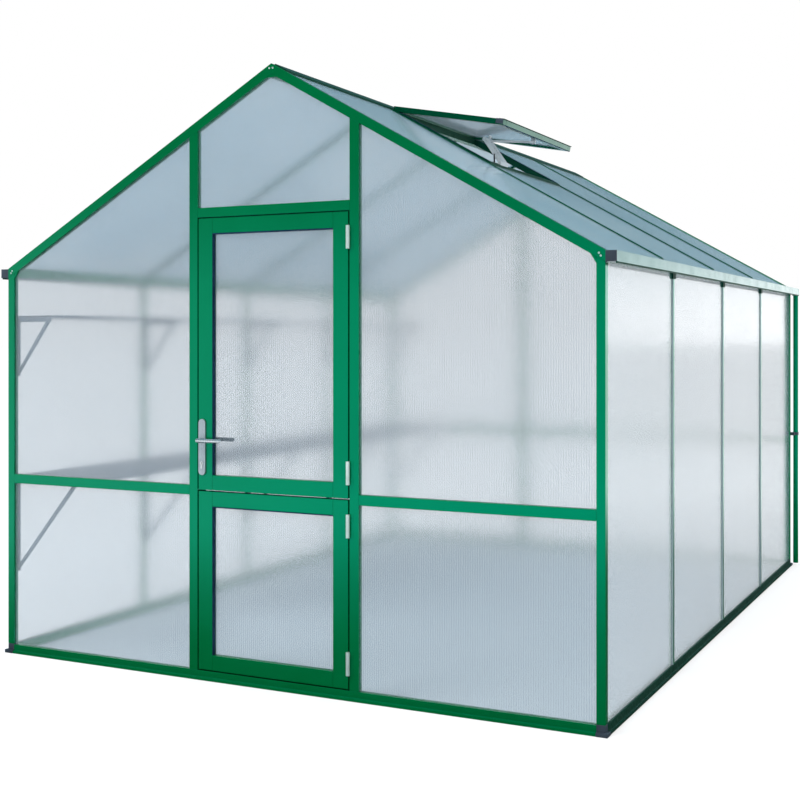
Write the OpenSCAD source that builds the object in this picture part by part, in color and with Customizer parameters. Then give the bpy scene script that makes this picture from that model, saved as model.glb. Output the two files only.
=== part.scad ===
// Walk-in greenhouse: aluminium frame, twin-wall polycarbonate panes, a two-part
// hinged door, gutters with downpipes, a propped roof vent and two side shelves.
// Local sizes are taken from the front face of the frame; place() then puts the
// origin under the middle of the building.

/* [Building] */
// Width over the corner posts
frame_w = 3040; // [2500:10:3700]
// Length from the front face to the rear face
frame_l = 4200; // [3500:10:5100]
// Number of equal bays along each side
bay_count = 4; // [3:1:5]
// Height of the roof line at the side walls
eave_z = 1887; // [1800:1:2270]
// Height of the roof line at the ridge
ridge_z = 2754; // [2650:1:3300]

/* [Frame] */
// Face width of a corner post
post_w = 37; // [30:1:50]
// Depth of the gable members
wall_t = 34; // [28:1:42]
// Face width of a rafter, square to its slope
rafter_w = 40; // [30:1:50]
// Height of the eave beam's outer side
eave_h = 45; // [35:1:55]
// Height of the base rail
base_h = 42; // [34:1:52]
// Reach of the foot flange beyond the wall
foot_out = 10; // [6:1:14]
// Thickness of the foot flange
foot_h = 14; // [8:1:20]
// Height of a corner foot
corner_h = 45; // [35:1:55]
// Face width of a mullion
mullion_w = 45; // [36:1:55]
// Underside of the mid rails
mid_z = 834; // [700:1:1000]
// Height of a mid rail
mid_h = 45; // [36:1:55]
// Height of the header above the door
header_h = 44; // [35:1:55]
// Half width of the ridge beam
ridge_half = 20; // [15:1:30]
// Depth of the ridge beam at its sides
ridge_drop = 30; // [20:1:40]
// Half width of the ridge cap
cap_half = 60; // [45:1:80]
// Thickness of the ridge cap above the roof line
cap_t = 4; // [2:1:6]

/* [Glazing] */
// Thickness of a pane
pane_t = 10; // [6:1:12]
// Depth of the gable panes behind the frame's face
pane_recess = 10; // [6:1:14]
// Depth of a pane's edge in its groove
bite = 9; // [6:1:12]
// Height of a glazing cap over the side and roof panes
bar_proud = 5; // [3:1:7]
// Width of a glazing cap
bar_w = 20; // [16:1:28]
// Width of a glazing bar inside the panes
bar_in_w = 24; // [18:1:32]
// Depth of a glazing bar inside the panes
bar_in_t = 12; // [8:1:16]
// Gap between neighbouring panes, filled by the bar's web
web_t = 6; // [4:1:10]
// Distance from the eave to the end of a roof glazing cap
bar_stop = 50; // [30:1:80]
// Reach of a roof pane over the gutter
pane_over = 8; // [4:1:14]

/* [Gutter] */
// Width of a gutter
gutter_w = 45; // [40:1:60]
// Height of a gutter
gutter_h = 43; // [38:1:50]
// Height of the gutter's back wall
gutter_back_h = 16; // [12:1:19]
// Thickness of the gutter's wall
gutter_t = 2; // [1.5:0.5:3]
// Thickness of a gutter end cap
end_cap_t = 4; // [3:1:8]
// Reach of a gutter beyond the rear wall
gutter_over = 75; // [60:1:100]
// Outside radius of a downpipe
pipe_r = 17; // [14:0.5:18]
// Thickness of a downpipe's wall
pipe_wall = 1.5; // [1:0.5:3]
// Distance from the rear face to a downpipe's axis
pipe_behind = 55; // [45:1:75]
// Height of a downpipe's lower end
pipe_z = 12; // [5:1:60]
// Height of the pipe clip
clip_z = 885; // [500:1:1300]

/* [Door] */
// Clear width between the mullions
door_w = 784; // [650:1:940]
// Gap beside a door leaf
leaf_side_gap = 6.5; // [6.5:0.5:9]
// Gap above and below a door leaf
leaf_end_gap = 6; // [5:0.5:8]
// Top of the lower leaf
lower_leaf_top = 854; // [700:1:1000]
// Top of the upper leaf
upper_leaf_top = 2086; // [1850:1:2150]
// Gap from the upper leaf to the header
header_gap = 5; // [5:0.5:8]
// Thickness of a door leaf
leaf_t = 34; // [28:1:42]
// Face width of a leaf stile
stile_w = 74; // [60:1:90]
// Face width of a leaf rail
leaf_rail_w = 68; // [55:1:85]
// Depth of the leaf's pane behind its face
leaf_recess = 20; // [14:1:24]

/* [Hinges] */
// Outside radius of a hinge barrel
barrel_r = 8.5; // [7:0.5:10]
// Radius of a hinge pin
pin_r = 4; // [3:0.5:5]
// Radial clearance of the pin in the turning barrel
pin_clear = 0.05; // [0.02:0.01:0.08]
// Length of a whole hinge
hinge_l = 100; // [80:1:120]
// Length of the turning barrel
turn_l = 36; // [28:1:44]
// Gap between barrels
barrel_gap = 0.5; // [0.3:0.1:1]
// Reach of a hinge leaf from the axis
lug_reach = 22; // [16:1:30]
// Thickness of a hinge leaf
lug_t = 3; // [2:0.5:4]
// Distance from a leaf's end to its hinge's middle
hinge_in = 110; // [90:1:140]

/* [Handle] */
// Distance from the leaf's edge to the lever's axis
lever_in = 22.5; // [20:0.5:30]
// Height of the lever
lever_z = 1085; // [1000:1:1150]
// Length of the grip from the lever's axis
grip_l = 113; // [90:1:130]
// Radius of the grip's rounded ends
grip_r = 10; // [8:0.5:12]
// Thickness of the grip
grip_t = 16; // [12:1:20]
// Reach of the grip beyond the leaf's face
lever_out = 48; // [40:1:75]
// Radius of the lever's neck
neck_r = 9; // [7:0.5:11]
// Radial clearance of the neck in the plate
neck_clear = 0.08; // [0.04:0.01:0.1]
// Radius of the spindle
spindle_r = 5; // [4:0.5:6]
// Clearance round the spindle in the stile
spindle_clear = 5; // [5:0.5:7]
// Width of a handle plate
plate_w = 36; // [30:1:44]
// Height of a handle plate
plate_h = 253; // [200:1:280]
// Thickness of a handle plate
plate_t = 8; // [5:0.5:10]
// Distance from the plate's top to the lever's axis
plate_above = 95; // [70:1:120]
// Radius of the lock cylinder
lock_r = 8.5; // [7:0.5:10]
// Distance from the lever's axis down to the lock cylinder
lock_drop = 105; // [80:1:120]
// Height of the lock cylinder's face over the plate
lock_proud = 3; // [1:0.5:5]

/* [Vent] */
// Bay that holds the vent, counted from the front
vent_bay = 2; // [1:1:3]
// Distance from the ridge line to the opening's lower edge
vent_reach = 588; // [480:1:700]
// Width of the sill across the opening
sill_w = 16; // [12:1:24]
// Height of the sill and kerbs over the roof line
kerb_up = 5; // [3:1:10]
// Width of a kerb
kerb_w = 40; // [30:1:50]
// Distance from the ridge line to the kerb's full height
kerb_from = 130; // [110:1:160]
// Slope of the propped sash below the horizontal
sash_slope = 10.6; // [8:0.1:14]
// Distance from the ridge line to the sash's lower edge
sash_reach = 666; // [560:1:760]
// Gap from the bay's bars to the sash
sash_in = 18; // [14:1:24]
// Width of a sash member
sash_w = 40; // [30:1:48]
// Depth of a sash member
sash_t = 28; // [24:1:34]
// Drop from the ridge to the line of the sash's underside
sash_drop = 35; // [32:1:37]
// Gap from the ridge cap to the sash
sash_gap = 4; // [3:0.5:8]
// Width of the hinge rail under the sash
vent_rail_w = 36; // [25:1:40]
// Distance from the vent bay's front bar to the opener
opener_in = 150; // [100:1:500]
// Width of the opener's foot and cast body
opener_w = 96; // [60:1:120]
// Distance from the body to the upper arm's end along the building
opener_swing = 265; // [0:1:400]
// Height of the opener's foot
opener_foot_h = 12; // [8:1:20]
// Distance of the elbow behind the foot
elbow_back = 84; // [50:1:110]
// Height of the elbow over the foot
elbow_up = 122; // [90:1:150]
// Drop of the upper arm's end under the sash
opener_drop = 18; // [12:1:30]

/* [Shelves] */
// Top of the lower shelf
shelf_low_z = 880; // [700:1:1000]
// Depth of the lower shelf
shelf_low_d = 520; // [400:1:600]
// Top of the upper shelf
shelf_high_z = 1665; // [1450:1:1700]
// Depth of the upper shelf
shelf_high_d = 290; // [200:1:350]
// Thickness of a shelf
shelf_t = 20; // [15:1:28]
// Gap from a shelf to the glazing bars
shelf_gap = 3; // [2:0.5:6]
// Width of a bracket bar
bracket_w = 20; // [15:1:30]
// Thickness of a bracket
bracket_t = 6; // [4:1:10]

/* [Hidden] */
$fn = 48;

half_w = frame_w / 2;
roof_slope = (ridge_z - eave_z) / half_w;
roof_a = atan(roof_slope);
front_y = lever_out - (frame_l + gutter_over + lever_out) / 2;
bay_l = frame_l / bay_count;
bay_y = [for (i = [1 : bay_count - 1]) i * bay_l];
post_x = half_w - post_w;
eave_low = eave_z - eave_h;
pane_low = base_h - bite;
groove_a = wall_t - bite;
groove_b = frame_l - wall_t + bite;
mullion_x = door_w / 2;
mullion_out = mullion_x + mullion_w;
mid_top = mid_z + mid_h;
header_z = upper_leaf_top + header_gap;
// Perpendicular levels of the roof's layers, from the roof line
pane_top_n = -bar_proud;
pane_low_n = -bar_proud - pane_t;
bar_low_n = pane_low_n - bar_in_t;
// Side wall layers, as distances from the middle of the building
side_pane_out = half_w - bar_proud;
side_pane_in = side_pane_out - pane_t;
side_bar_in = side_pane_in - bar_in_t;
ridge_split = 6;
// Door leaves
leaf_x = mullion_x - leaf_side_gap;
axis_x = mullion_x - leaf_side_gap / 2;
axis_y = -barrel_r;
lower_leaf_z = base_h + leaf_end_gap;
upper_leaf_z = lower_leaf_top + leaf_end_gap;
lever_x = -leaf_x + lever_in;
plate_z = lever_z + plate_above - plate_h;
lock_z = lever_z - lock_drop;
lower_hinges = [lower_leaf_z + hinge_in, lower_leaf_top - hinge_in];
upper_hinges = [upper_leaf_z + hinge_in, upper_leaf_top - hinge_in];
// Vent
vent_y0 = (vent_bay - 1) * bay_l;
vent_y1 = vent_y0 + bay_l;
sash_y0 = vent_y0 + sash_in;
sash_y1 = vent_y1 - sash_in;
sash_z = ridge_z - sash_drop;
sash_x0 = cap_half + sash_gap;
sash_start = sash_x0 / cos(sash_slope);
sash_end = sash_reach / cos(sash_slope);
opener_y = vent_y0 + opener_in;
arm_w = 16;
arm_t = 5;
eye_step = 2;
// Gutter and pipe places
gutter_z = eave_low;
pipe_x = half_w + gutter_w / 2 + 2;
pipe_y = frame_l + pipe_behind;
clip_h = 20;
clip_t = 2.5;
overlap = 1;
// Play between slanted layers that lie on each other
seam = 0.02;
// Start of the kerb's full height, clear of the propped sash
kerb_clear_x = (sash_drop + sash_gap + kerb_up / cos(roof_a)) / (roof_slope - tan(sash_slope));
kerb_full = max(kerb_from, kerb_clear_x);

// Height of a line parallel to the roof, n square above it, at x
function roof_z(x, n) = ridge_z - abs(x) * roof_slope + n / cos(roof_a);
// Lower edge of the gable rafters at x
function rafter_low(x) = roof_z(x, -rafter_w);
// Underside of the propped sash at x
function sash_low(x) = sash_z - x * tan(sash_slope);
// Start of a bay's pane and end of a bay's pane along the building
function bay_from(i) = i == 0 ? groove_a : i * bay_l + web_t / 2;
function bay_to(i) = i == bay_count - 1 ? groove_b : (i + 1) * bay_l - web_t / 2;

module place() {
    translate([0, front_y, 0])
        children();
}

module both_sides() {
    children();
    mirror([1, 0, 0])
        children();
}

module both_gables() {
    children();
    translate([0, frame_l, 0])
        mirror([0, 1, 0])
            children();
}

module box(x0, x1, y0, y1, z0, z1) {
    translate([x0, y0, z0])
        cube([x1 - x0, y1 - y0, z1 - z0]);
}

// A prism along Y from an outline in X and Z
module along_y(y0, y1, outline) {
    translate([0, y1, 0])
        rotate([90, 0, 0])
            linear_extrude(height = y1 - y0)
                polygon(outline);
}

// A layer parallel to the right roof slope, between two levels
module roof_slab(x0, x1, n0, n1, y0, y1) {
    along_y(y0, y1, [
        [x0, roof_z(x0, n0)], [x1, roof_z(x1, n0)],
        [x1, roof_z(x1, n1)], [x0, roof_z(x0, n1)]
    ]);
}

module y_cylinder(x, z, r, y0, y1) {
    translate([x, y1, z])
        rotate([90, 0, 0])
            cylinder(r = r, h = y1 - y0);
}

// ---- Panes ----

module gable_pane(x0, x1, z0, z1) {
    box(x0, x1, pane_recess, pane_recess + pane_t, z0, z1);
}

module gable_pane_to_rafter(x0, x1, z0) {
    along_y(pane_recess, pane_recess + pane_t, [
        [x0, z0], [x1, z0],
        [x1, rafter_low(x1) + bite], [x0, rafter_low(x0) + bite]
    ]);
}

module peak_pane(z0) {
    x1 = mullion_x + bite;
    along_y(pane_recess, pane_recess + pane_t, [
        [-x1, z0], [x1, z0], [x1, rafter_low(x1) + bite],
        [0, rafter_low(0) + bite], [-x1, rafter_low(x1) + bite]
    ]);
}

module outer_gable_panes() {
    x0 = mullion_out - bite;
    x1 = post_x + bite;
    both_sides() {
        gable_pane(x0, x1, pane_low, mid_z + bite);
        gable_pane_to_rafter(x0, x1, mid_top - bite);
    }
}

module front_pane_set() {
    outer_gable_panes();
    peak_pane(header_z + header_h - bite);
}

module rear_pane_set() {
    translate([0, frame_l, 0])
        mirror([0, 1, 0]) {
            outer_gable_panes();
            gable_pane(-mullion_x - bite, mullion_x + bite, pane_low, mid_z + bite);
            peak_pane(mid_top - bite);
        }
}

module side_pane_set() {
    both_sides()
        for (i = [0 : bay_count - 1])
            box(side_pane_in, side_pane_out, bay_from(i), bay_to(i), pane_low, eave_low + bite);
}

module roof_pane_set() {
    far = half_w + pane_over;
    for (i = [0 : bay_count - 1]) {
        start = i == vent_bay - 1 ? vent_reach + sill_w : ridge_split;
        roof_slab(start, far, pane_low_n + seam, pane_top_n - seam, bay_from(i), bay_to(i));
        mirror([1, 0, 0])
            roof_slab(ridge_split, far, pane_low_n + seam, pane_top_n - seam, bay_from(i), bay_to(i));
    }
}

module front_panes() {
    color("lightsteelblue")
        front_pane_set();
}

module rear_panes() {
    color("lightsteelblue")
        rear_pane_set();
}

module side_panes() {
    color("lightsteelblue")
        side_pane_set();
}

module roof_panes() {
    color("lightsteelblue")
        roof_pane_set();
}

// Cuts the panes' grooves in the members it is given
module grooved() {
    difference() {
        children();
        front_pane_set();
        rear_pane_set();
        side_pane_set();
        roof_pane_set();
    }
}

// ---- Base ----

module base_rails_gable() {
    color("seagreen")
        grooved()
            both_gables() {
                box(-post_x, post_x, 0, wall_t, 0, base_h);
                box(-post_x, post_x, -foot_out, overlap, 0, foot_h);
            }
}

module base_rails_side() {
    color("seagreen")
        grooved()
            both_sides() {
                box(post_x, half_w, wall_t, frame_l - wall_t, 0, base_h);
                box(half_w - overlap, half_w + foot_out, wall_t, frame_l - wall_t, 0, foot_h);
            }
}

module base_corner_feet() {
    step = 2;
    color("darkslategray")
        grooved()
            both_gables()
                both_sides() {
                    box(post_x, half_w, 0, wall_t, 0, corner_h);
                    box(post_x, half_w + foot_out + step, -foot_out - step, wall_t, 0, foot_h + step);
                }
}

// ---- Frame ----

module corner_posts() {
    color("seagreen")
        grooved()
            both_gables()
                both_sides()
                    along_y(0, wall_t, [
                        [post_x, corner_h], [half_w, corner_h],
                        [half_w, rafter_low(half_w)], [post_x, rafter_low(post_x)]
                    ]);
}

module mullions() {
    color("seagreen")
        grooved()
            both_gables()
                both_sides()
                    along_y(0, wall_t, [
                        [mullion_x, base_h], [mullion_out, base_h],
                        [mullion_out, rafter_low(mullion_out)], [mullion_x, rafter_low(mullion_x)]
                    ]);
}

module mid_rails() {
    color("seagreen")
        grooved() {
            both_gables()
                both_sides()
                    box(mullion_out, post_x, 0, wall_t, mid_z, mid_top);
            box(-mullion_x, mullion_x, frame_l - wall_t, frame_l, mid_z, mid_top);
        }
}

module door_header() {
    color("seagreen")
        grooved()
            box(-mullion_x, mullion_x, 0, wall_t, header_z, header_z + header_h);
}

module right_rafters() {
    both_gables()
        roof_slab(0, half_w, -rafter_w, 0, 0, wall_t);
}

module rafters_left() {
    color("seagreen")
        grooved()
            mirror([1, 0, 0])
                right_rafters();
}

module rafters_right() {
    color("seagreen")
        grooved()
            right_rafters();
}

module frame_gussets() {
    leg = 26;
    front = 1;
    rear = pane_recess;
    color("seagreen")
        both_gables() {
            both_sides()
                along_y(front, rear, [
                    [post_x, rafter_low(post_x)], [post_x, rafter_low(post_x) - leg],
                    [post_x - leg, rafter_low(post_x - leg)]
                ]);
            along_y(front, rear, [
                [0, rafter_low(0)], [-leg, rafter_low(leg)], [leg, rafter_low(leg)]
            ]);
        }
}

module side_bars() {
    color("seagreen")
        both_sides()
            for (y = bay_y) {
                box(side_pane_out, half_w, y - bar_w / 2, y + bar_w / 2, base_h, eave_low);
                web_0 = side_pane_in - overlap;
                web_1 = side_pane_out + overlap;
                box(web_0, web_1, y - web_t / 2, y + web_t / 2, base_h, eave_low);
                box(side_bar_in, side_pane_in, y - bar_in_w / 2, y + bar_in_w / 2, base_h, eave_low);
            }
}

module eave_beams() {
    color("seagreen")
        grooved()
            both_sides()
                along_y(wall_t, frame_l - wall_t, [
                    [post_x, eave_low], [half_w, eave_low],
                    [half_w, roof_z(half_w, pane_low_n)], [post_x, roof_z(post_x, pane_low_n)]
                ]);
}

module roof_bars() {
    cap_end = half_w - bar_stop;
    color("seagreen")
        both_sides()
            for (y = bay_y) {
                roof_slab(cap_half, cap_end, pane_top_n, 0, y - bar_w / 2, y + bar_w / 2);
                roof_slab(ridge_split, half_w, pane_low_n, pane_top_n, y - web_t / 2, y + web_t / 2);
                roof_slab(ridge_half, post_x, bar_low_n, pane_low_n, y - bar_in_w / 2, y + bar_in_w / 2);
                roof_slab(cap_half, cap_end, bar_low_n + overlap, -overlap, y - web_t / 2, y + web_t / 2);
            }
}

module ridge_beam() {
    low = roof_z(ridge_half, pane_low_n) - ridge_drop;
    color("seagreen")
        along_y(wall_t, frame_l - wall_t, [
            [-ridge_half, low], [ridge_half, low],
            [ridge_half, roof_z(ridge_half, pane_low_n)], [0, roof_z(0, pane_low_n)],
            [-ridge_half, roof_z(ridge_half, pane_low_n)]
        ]);
}

module ridge_cap() {
    color("seagreen")
        for (side = [-1, 1])
            along_y(wall_t, frame_l - wall_t, [
                [side * seam / 2, roof_z(seam / 2, pane_top_n)],
                [side * cap_half, roof_z(cap_half, pane_top_n)],
                [side * cap_half, roof_z(cap_half, cap_t)],
                [side * seam / 2, roof_z(seam / 2, cap_t)]
            ]);
}

// ---- Gutters and downpipes ----

module gutter() {
    x1 = half_w + gutter_w;
    z1 = gutter_z + gutter_h;
    y0 = end_cap_t;
    y1 = frame_l + gutter_over - end_cap_t;
    difference() {
        union() {
            box(half_w, x1, y0, y1, gutter_z, gutter_z + gutter_t);
            box(half_w, half_w + gutter_t, y0, y1, gutter_z, gutter_z + gutter_back_h);
            box(x1 - gutter_t, x1, y0, y1, gutter_z, z1);
        }
        translate([pipe_x, pipe_y, gutter_z - overlap])
            cylinder(r = pipe_r - pipe_wall, h = gutter_t + 2 * overlap);
    }
}

module gutter_left() {
    color("seagreen")
        mirror([1, 0, 0])
            gutter();
}

module gutter_right() {
    color("seagreen")
        gutter();
}

module gutter_end_caps() {
    y1 = frame_l + gutter_over;
    color("darkslategray")
        both_sides()
            for (y = [0, y1 - end_cap_t])
                along_y(y, y + end_cap_t, [
                    [half_w, gutter_z], [half_w + gutter_w, gutter_z],
                    [half_w + gutter_w, gutter_z + gutter_h],
                    [half_w, gutter_z + gutter_back_h]
                ]);
}

// One quarter of a tube standing at the downpipe's axis, facing the given direction
module tube_quarter(r0, r1, z0, h, facing) {
    far = 2 * r1;
    translate([pipe_x, pipe_y, z0])
        rotate([0, 0, facing])
            intersection() {
                difference() {
                    cylinder(r = r1, h = h);
                    translate([0, 0, -overlap])
                        cylinder(r = r0, h = h + 2 * overlap);
                }
                linear_extrude(height = h)
                    polygon([[0, 0], [far, -far], [far, far]]);
            }
}

// The pipe's wall is in quarters, so that each quarter's hull stays clear of the bore
module downpipe_sides() {
    color("seagreen")
        both_sides()
            for (facing = [0, 180])
                tube_quarter(pipe_r - pipe_wall, pipe_r, pipe_z, gutter_z - pipe_z, facing);
}

module downpipe_faces() {
    color("seagreen")
        both_sides()
            for (facing = [90, 270])
                tube_quarter(pipe_r - pipe_wall, pipe_r, pipe_z, gutter_z - pipe_z, facing);
}

module pipe_clip_sides() {
    color("darkslategray")
        both_sides()
            for (facing = [0, 180])
                tube_quarter(pipe_r, pipe_r + clip_t, clip_z, clip_h, facing);
}

module pipe_clips() {
    color("darkslategray")
        both_sides() {
            tube_quarter(pipe_r, pipe_r + clip_t, clip_z, clip_h, 90);
            tube_quarter(pipe_r, pipe_r + clip_t, clip_z, clip_h, 270);
            box(half_w - post_w / 2, pipe_x, frame_l, pipe_y - pipe_r - clip_t / 2, clip_z, clip_z + clip_h);
        }
}

// ---- Roof vent ----

// A box in the propped sash's own directions, s down the sash and n square to it
module sash_box(s0, s1, y0, y1, n0, n1) {
    translate([0, 0, sash_z])
        rotate([0, sash_slope, 0])
            box(s0, s1, y0, y1, n0, n1);
}

module vent_pane_solid() {
    deep = (sash_t - pane_t) / 2;
    sash_box(
        sash_start + sash_w - bite, sash_end - sash_w + bite,
        sash_y0 + sash_w - bite, sash_y1 - sash_w + bite, deep, deep + pane_t
    );
}

module vent_hinge_rail() {
    x0 = sash_x0;
    x1 = sash_x0 + vent_rail_w;
    color("seagreen")
        along_y(vent_y0 + bar_in_w / 2, vent_y1 - bar_in_w / 2, [
            [ridge_half, roof_z(ridge_half, bar_low_n)], [x1, roof_z(x1, bar_low_n)],
            [x1, sash_low(x1) - seam], [x0, sash_low(x0) - seam],
            [x0, roof_z(x0, pane_top_n - seam)], [ridge_half, roof_z(ridge_half, pane_top_n - seam)]
        ]);
}

module vent_kerbs() {
    y0 = vent_y0 + bar_in_w / 2;
    y1 = vent_y1 - bar_in_w / 2;
    x0 = sash_x0 + vent_rail_w;
    color("seagreen")
        for (y = [y0, y1 - kerb_w])
            along_y(y, y + kerb_w, [
                [x0, roof_z(x0, bar_low_n)], [vent_reach, roof_z(vent_reach, bar_low_n)],
                [vent_reach, roof_z(vent_reach, kerb_up)], [kerb_full, roof_z(kerb_full, kerb_up)],
                [x0, sash_low(x0) - sash_gap]
            ]);
}

module vent_sill() {
    y0 = vent_y0 + bar_in_w / 2;
    y1 = vent_y1 - bar_in_w / 2;
    color("seagreen")
        roof_slab(vent_reach, vent_reach + sill_w, bar_low_n, kerb_up, y0, y1);
}

module vent_sash_rails() {
    color("seagreen")
        difference() {
            union() {
                sash_box(sash_start, sash_start + sash_w, sash_y0, sash_y1, 0, sash_t);
                sash_box(sash_end - sash_w, sash_end, sash_y0 + sash_w, sash_y1 - sash_w, 0, sash_t);
            }
            vent_pane_solid();
        }
}

module vent_sash_stiles() {
    s0 = sash_start + sash_w;
    s1 = sash_end - sash_w;
    color("seagreen")
        difference() {
            union() {
                sash_box(s0, s1, sash_y0, sash_y0 + sash_w, 0, sash_t);
                sash_box(s0, s1, sash_y1 - sash_w, sash_y1, 0, sash_t);
            }
            vent_pane_solid();
        }
}

module vent_sash_corners() {
    s0 = sash_end - sash_w;
    color("darkslategray")
        difference() {
            union() {
                sash_box(s0, sash_end, sash_y0, sash_y0 + sash_w, 0, sash_t);
                sash_box(s0, sash_end, sash_y1 - sash_w, sash_y1, 0, sash_t);
            }
            vent_pane_solid();
        }
}

module vent_pane() {
    color("lightsteelblue")
        vent_pane_solid();
}

// A leaning plate between two points in X and Z, with a round edge at its top
module cast_body(x0, z0, x1, z1, y0, y1) {
    run = norm([x1 - x0, z1 - z0]);
    translate([x0, y0, z0])
        rotate([0, -atan2(z1 - z0, x1 - x0), 0])
            translate([0, 0, -arm_w / 2])
                cube([run, y1 - y0, arm_w]);
    y_cylinder(x1, z1, arm_w / 2 + eye_step, y0 - overlap, y1 + overlap);
}

// A square arm between two points in space
module arm(p, q) {
    d = q - p;
    flat = norm([d[0], d[1]]);
    translate(p)
        rotate([0, -atan2(d[2], flat), atan2(d[1], d[0])])
            translate([0, -arm_t, -arm_t])
                cube([norm(d), 2 * arm_t, 2 * arm_t]);
}

// The foot stands on the sill; the arm ends in a bracket under the lower sash rail
module vent_opener() {
    foot_x = vent_reach + sill_w / 2;
    foot_top = roof_z(foot_x, kerb_up) + opener_foot_h;
    rail_x = (sash_end - sash_w / 2) * cos(sash_slope);
    bracket_z = sash_low(rail_x) - opener_drop;
    elbow_x = foot_x - elbow_back;
    elbow_z = foot_top + elbow_up;
    body_y1 = opener_y + opener_w;
    bracket_y0 = body_y1 + opener_swing;
    color("lightgray")
        union() {
            along_y(opener_y, body_y1, [
                [vent_reach, roof_z(vent_reach, kerb_up)],
                [vent_reach + sill_w, roof_z(vent_reach + sill_w, kerb_up)],
                [vent_reach + sill_w, foot_top + arm_t], [vent_reach, foot_top + arm_t]
            ]);
            cast_body(foot_x, foot_top, elbow_x, elbow_z, opener_y + arm_t, body_y1 - arm_t);
            arm([elbow_x, body_y1 - 2 * arm_t, elbow_z], [rail_x, bracket_y0 + arm_w / 2, bracket_z]);
            along_y(bracket_y0, bracket_y0 + arm_w, [
                [rail_x - arm_w, bracket_z - 2 * arm_t], [rail_x + arm_t, bracket_z - 2 * arm_t],
                [rail_x + arm_t, sash_low(rail_x + arm_t)], [rail_x - arm_w, sash_low(rail_x - arm_w)]
            ]);
        }
}

// ---- Shelves ----

shelf_x1 = -side_bar_in + shelf_gap;
shelf_y0 = wall_t + bracket_t;
shelf_y1 = frame_l - wall_t - bracket_t;
bracket_y = concat([wall_t], [for (y = bay_y) y - bracket_t / 2], [frame_l - wall_t - bracket_t]);

module shelf_upper() {
    color("gainsboro")
        box(shelf_x1, shelf_x1 + shelf_high_d, shelf_y0, shelf_y1, shelf_high_z - shelf_t, shelf_high_z);
}

module shelf_lower() {
    color("gainsboro")
        box(shelf_x1, shelf_x1 + shelf_low_d, shelf_y0, shelf_y1, shelf_low_z - shelf_t, shelf_low_z);
}

// A wall leg, an arm under the shelf and a brace between them
module bracket(top, reach, drop, y0) {
    wall_x = -side_bar_in;
    tip_x = wall_x + reach;
    low = top - drop;
    half = bracket_w / 2;
    along_y(y0, y0 + bracket_t, [
        [wall_x, low], [wall_x + bracket_w, low], [wall_x + bracket_w, top], [wall_x, top]
    ]);
    along_y(y0, y0 + bracket_t, [
        [wall_x, top - bracket_w], [tip_x, top - bracket_w], [tip_x, top], [wall_x, top]
    ]);
    along_y(y0, y0 + bracket_t, [
        [wall_x + half, low], [wall_x + half, low + bracket_w * 1.4],
        [tip_x - bracket_w * 1.4, top - half], [tip_x, top - half]
    ]);
}

module shelf_brackets() {
    color("gainsboro")
        for (y = bracket_y) {
            bracket(shelf_high_z - shelf_t, shelf_high_d * 0.75, 285, y);
            bracket(shelf_low_z - shelf_t, shelf_low_d * 0.75, 460, y);
        }
}

// ---- Doors ----

module leaf_pane(z0, z1) {
    inner = leaf_x - stile_w + bite;
    box(
        -inner, inner, leaf_recess, leaf_recess + pane_t,
        z0 + leaf_rail_w - bite, z1 - leaf_rail_w + bite
    );
}

module leaf_stiles(z0, z1) {
    difference() {
        both_sides()
            box(leaf_x - stile_w, leaf_x, 0, leaf_t, z0, z1);
        leaf_pane(z0, z1);
        y_cylinder(lever_x, lever_z, spindle_r + spindle_clear, -overlap, leaf_t + overlap);
    }
}

module leaf_rails(z0, z1) {
    inner = leaf_x - stile_w;
    difference() {
        union() {
            box(-inner, inner, 0, leaf_t, z0, z0 + leaf_rail_w);
            box(-inner, inner, 0, leaf_t, z1 - leaf_rail_w, z1);
        }
        leaf_pane(z0, z1);
    }
}

module turning_barrels(middles) {
    for (z = middles)
        translate([axis_x, axis_y, z - turn_l / 2])
            difference() {
                union() {
                    cylinder(r = barrel_r, h = turn_l);
                    box(-lug_reach, 0, barrel_r - lug_t, barrel_r, 0, turn_l);
                }
                translate([0, 0, -overlap])
                    cylinder(r = pin_r + pin_clear, h = turn_l + 2 * overlap);
            }
}

module fixed_barrel(h) {
    cylinder(r = barrel_r, h = h);
    box(0, lug_reach, barrel_r - lug_t, barrel_r, 0, h);
}

module door_hinge_pins() {
    fixed_l = (hinge_l - turn_l) / 2 - barrel_gap;
    color("silver")
        for (z = concat(lower_hinges, upper_hinges))
            translate([axis_x, axis_y, z - hinge_l / 2]) {
                cylinder(r = pin_r, h = hinge_l);
                fixed_barrel(fixed_l);
                translate([0, 0, hinge_l - fixed_l])
                    fixed_barrel(fixed_l);
            }
}

module upper_leaf_stiles() {
    color("seagreen")
        leaf_stiles(upper_leaf_z, upper_leaf_top);
}

module upper_leaf_rails() {
    color("seagreen")
        leaf_rails(upper_leaf_z, upper_leaf_top);
}

module upper_leaf_pane() {
    color("lightsteelblue")
        leaf_pane(upper_leaf_z, upper_leaf_top);
}

module upper_leaf_barrels() {
    color("silver")
        turning_barrels(upper_hinges);
}

module lower_leaf_stiles() {
    color("seagreen")
        leaf_stiles(lower_leaf_z, lower_leaf_top);
}

module lower_leaf_rails() {
    color("seagreen")
        leaf_rails(lower_leaf_z, lower_leaf_top);
}

module lower_leaf_pane() {
    color("lightsteelblue")
        leaf_pane(lower_leaf_z, lower_leaf_top);
}

module lower_leaf_barrels() {
    color("silver")
        turning_barrels(lower_hinges);
}

module handle_plate(y0, lock_y0, lock_y1) {
    difference() {
        union() {
            box(lever_x - plate_w / 2, lever_x + plate_w / 2, y0, y0 + plate_t, plate_z, plate_z + plate_h);
            y_cylinder(lever_x, lock_z, lock_r, lock_y0, lock_y1);
        }
        y_cylinder(lever_x, lever_z, neck_r + neck_clear, y0 - overlap, y0 + plate_t + overlap);
    }
}

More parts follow.
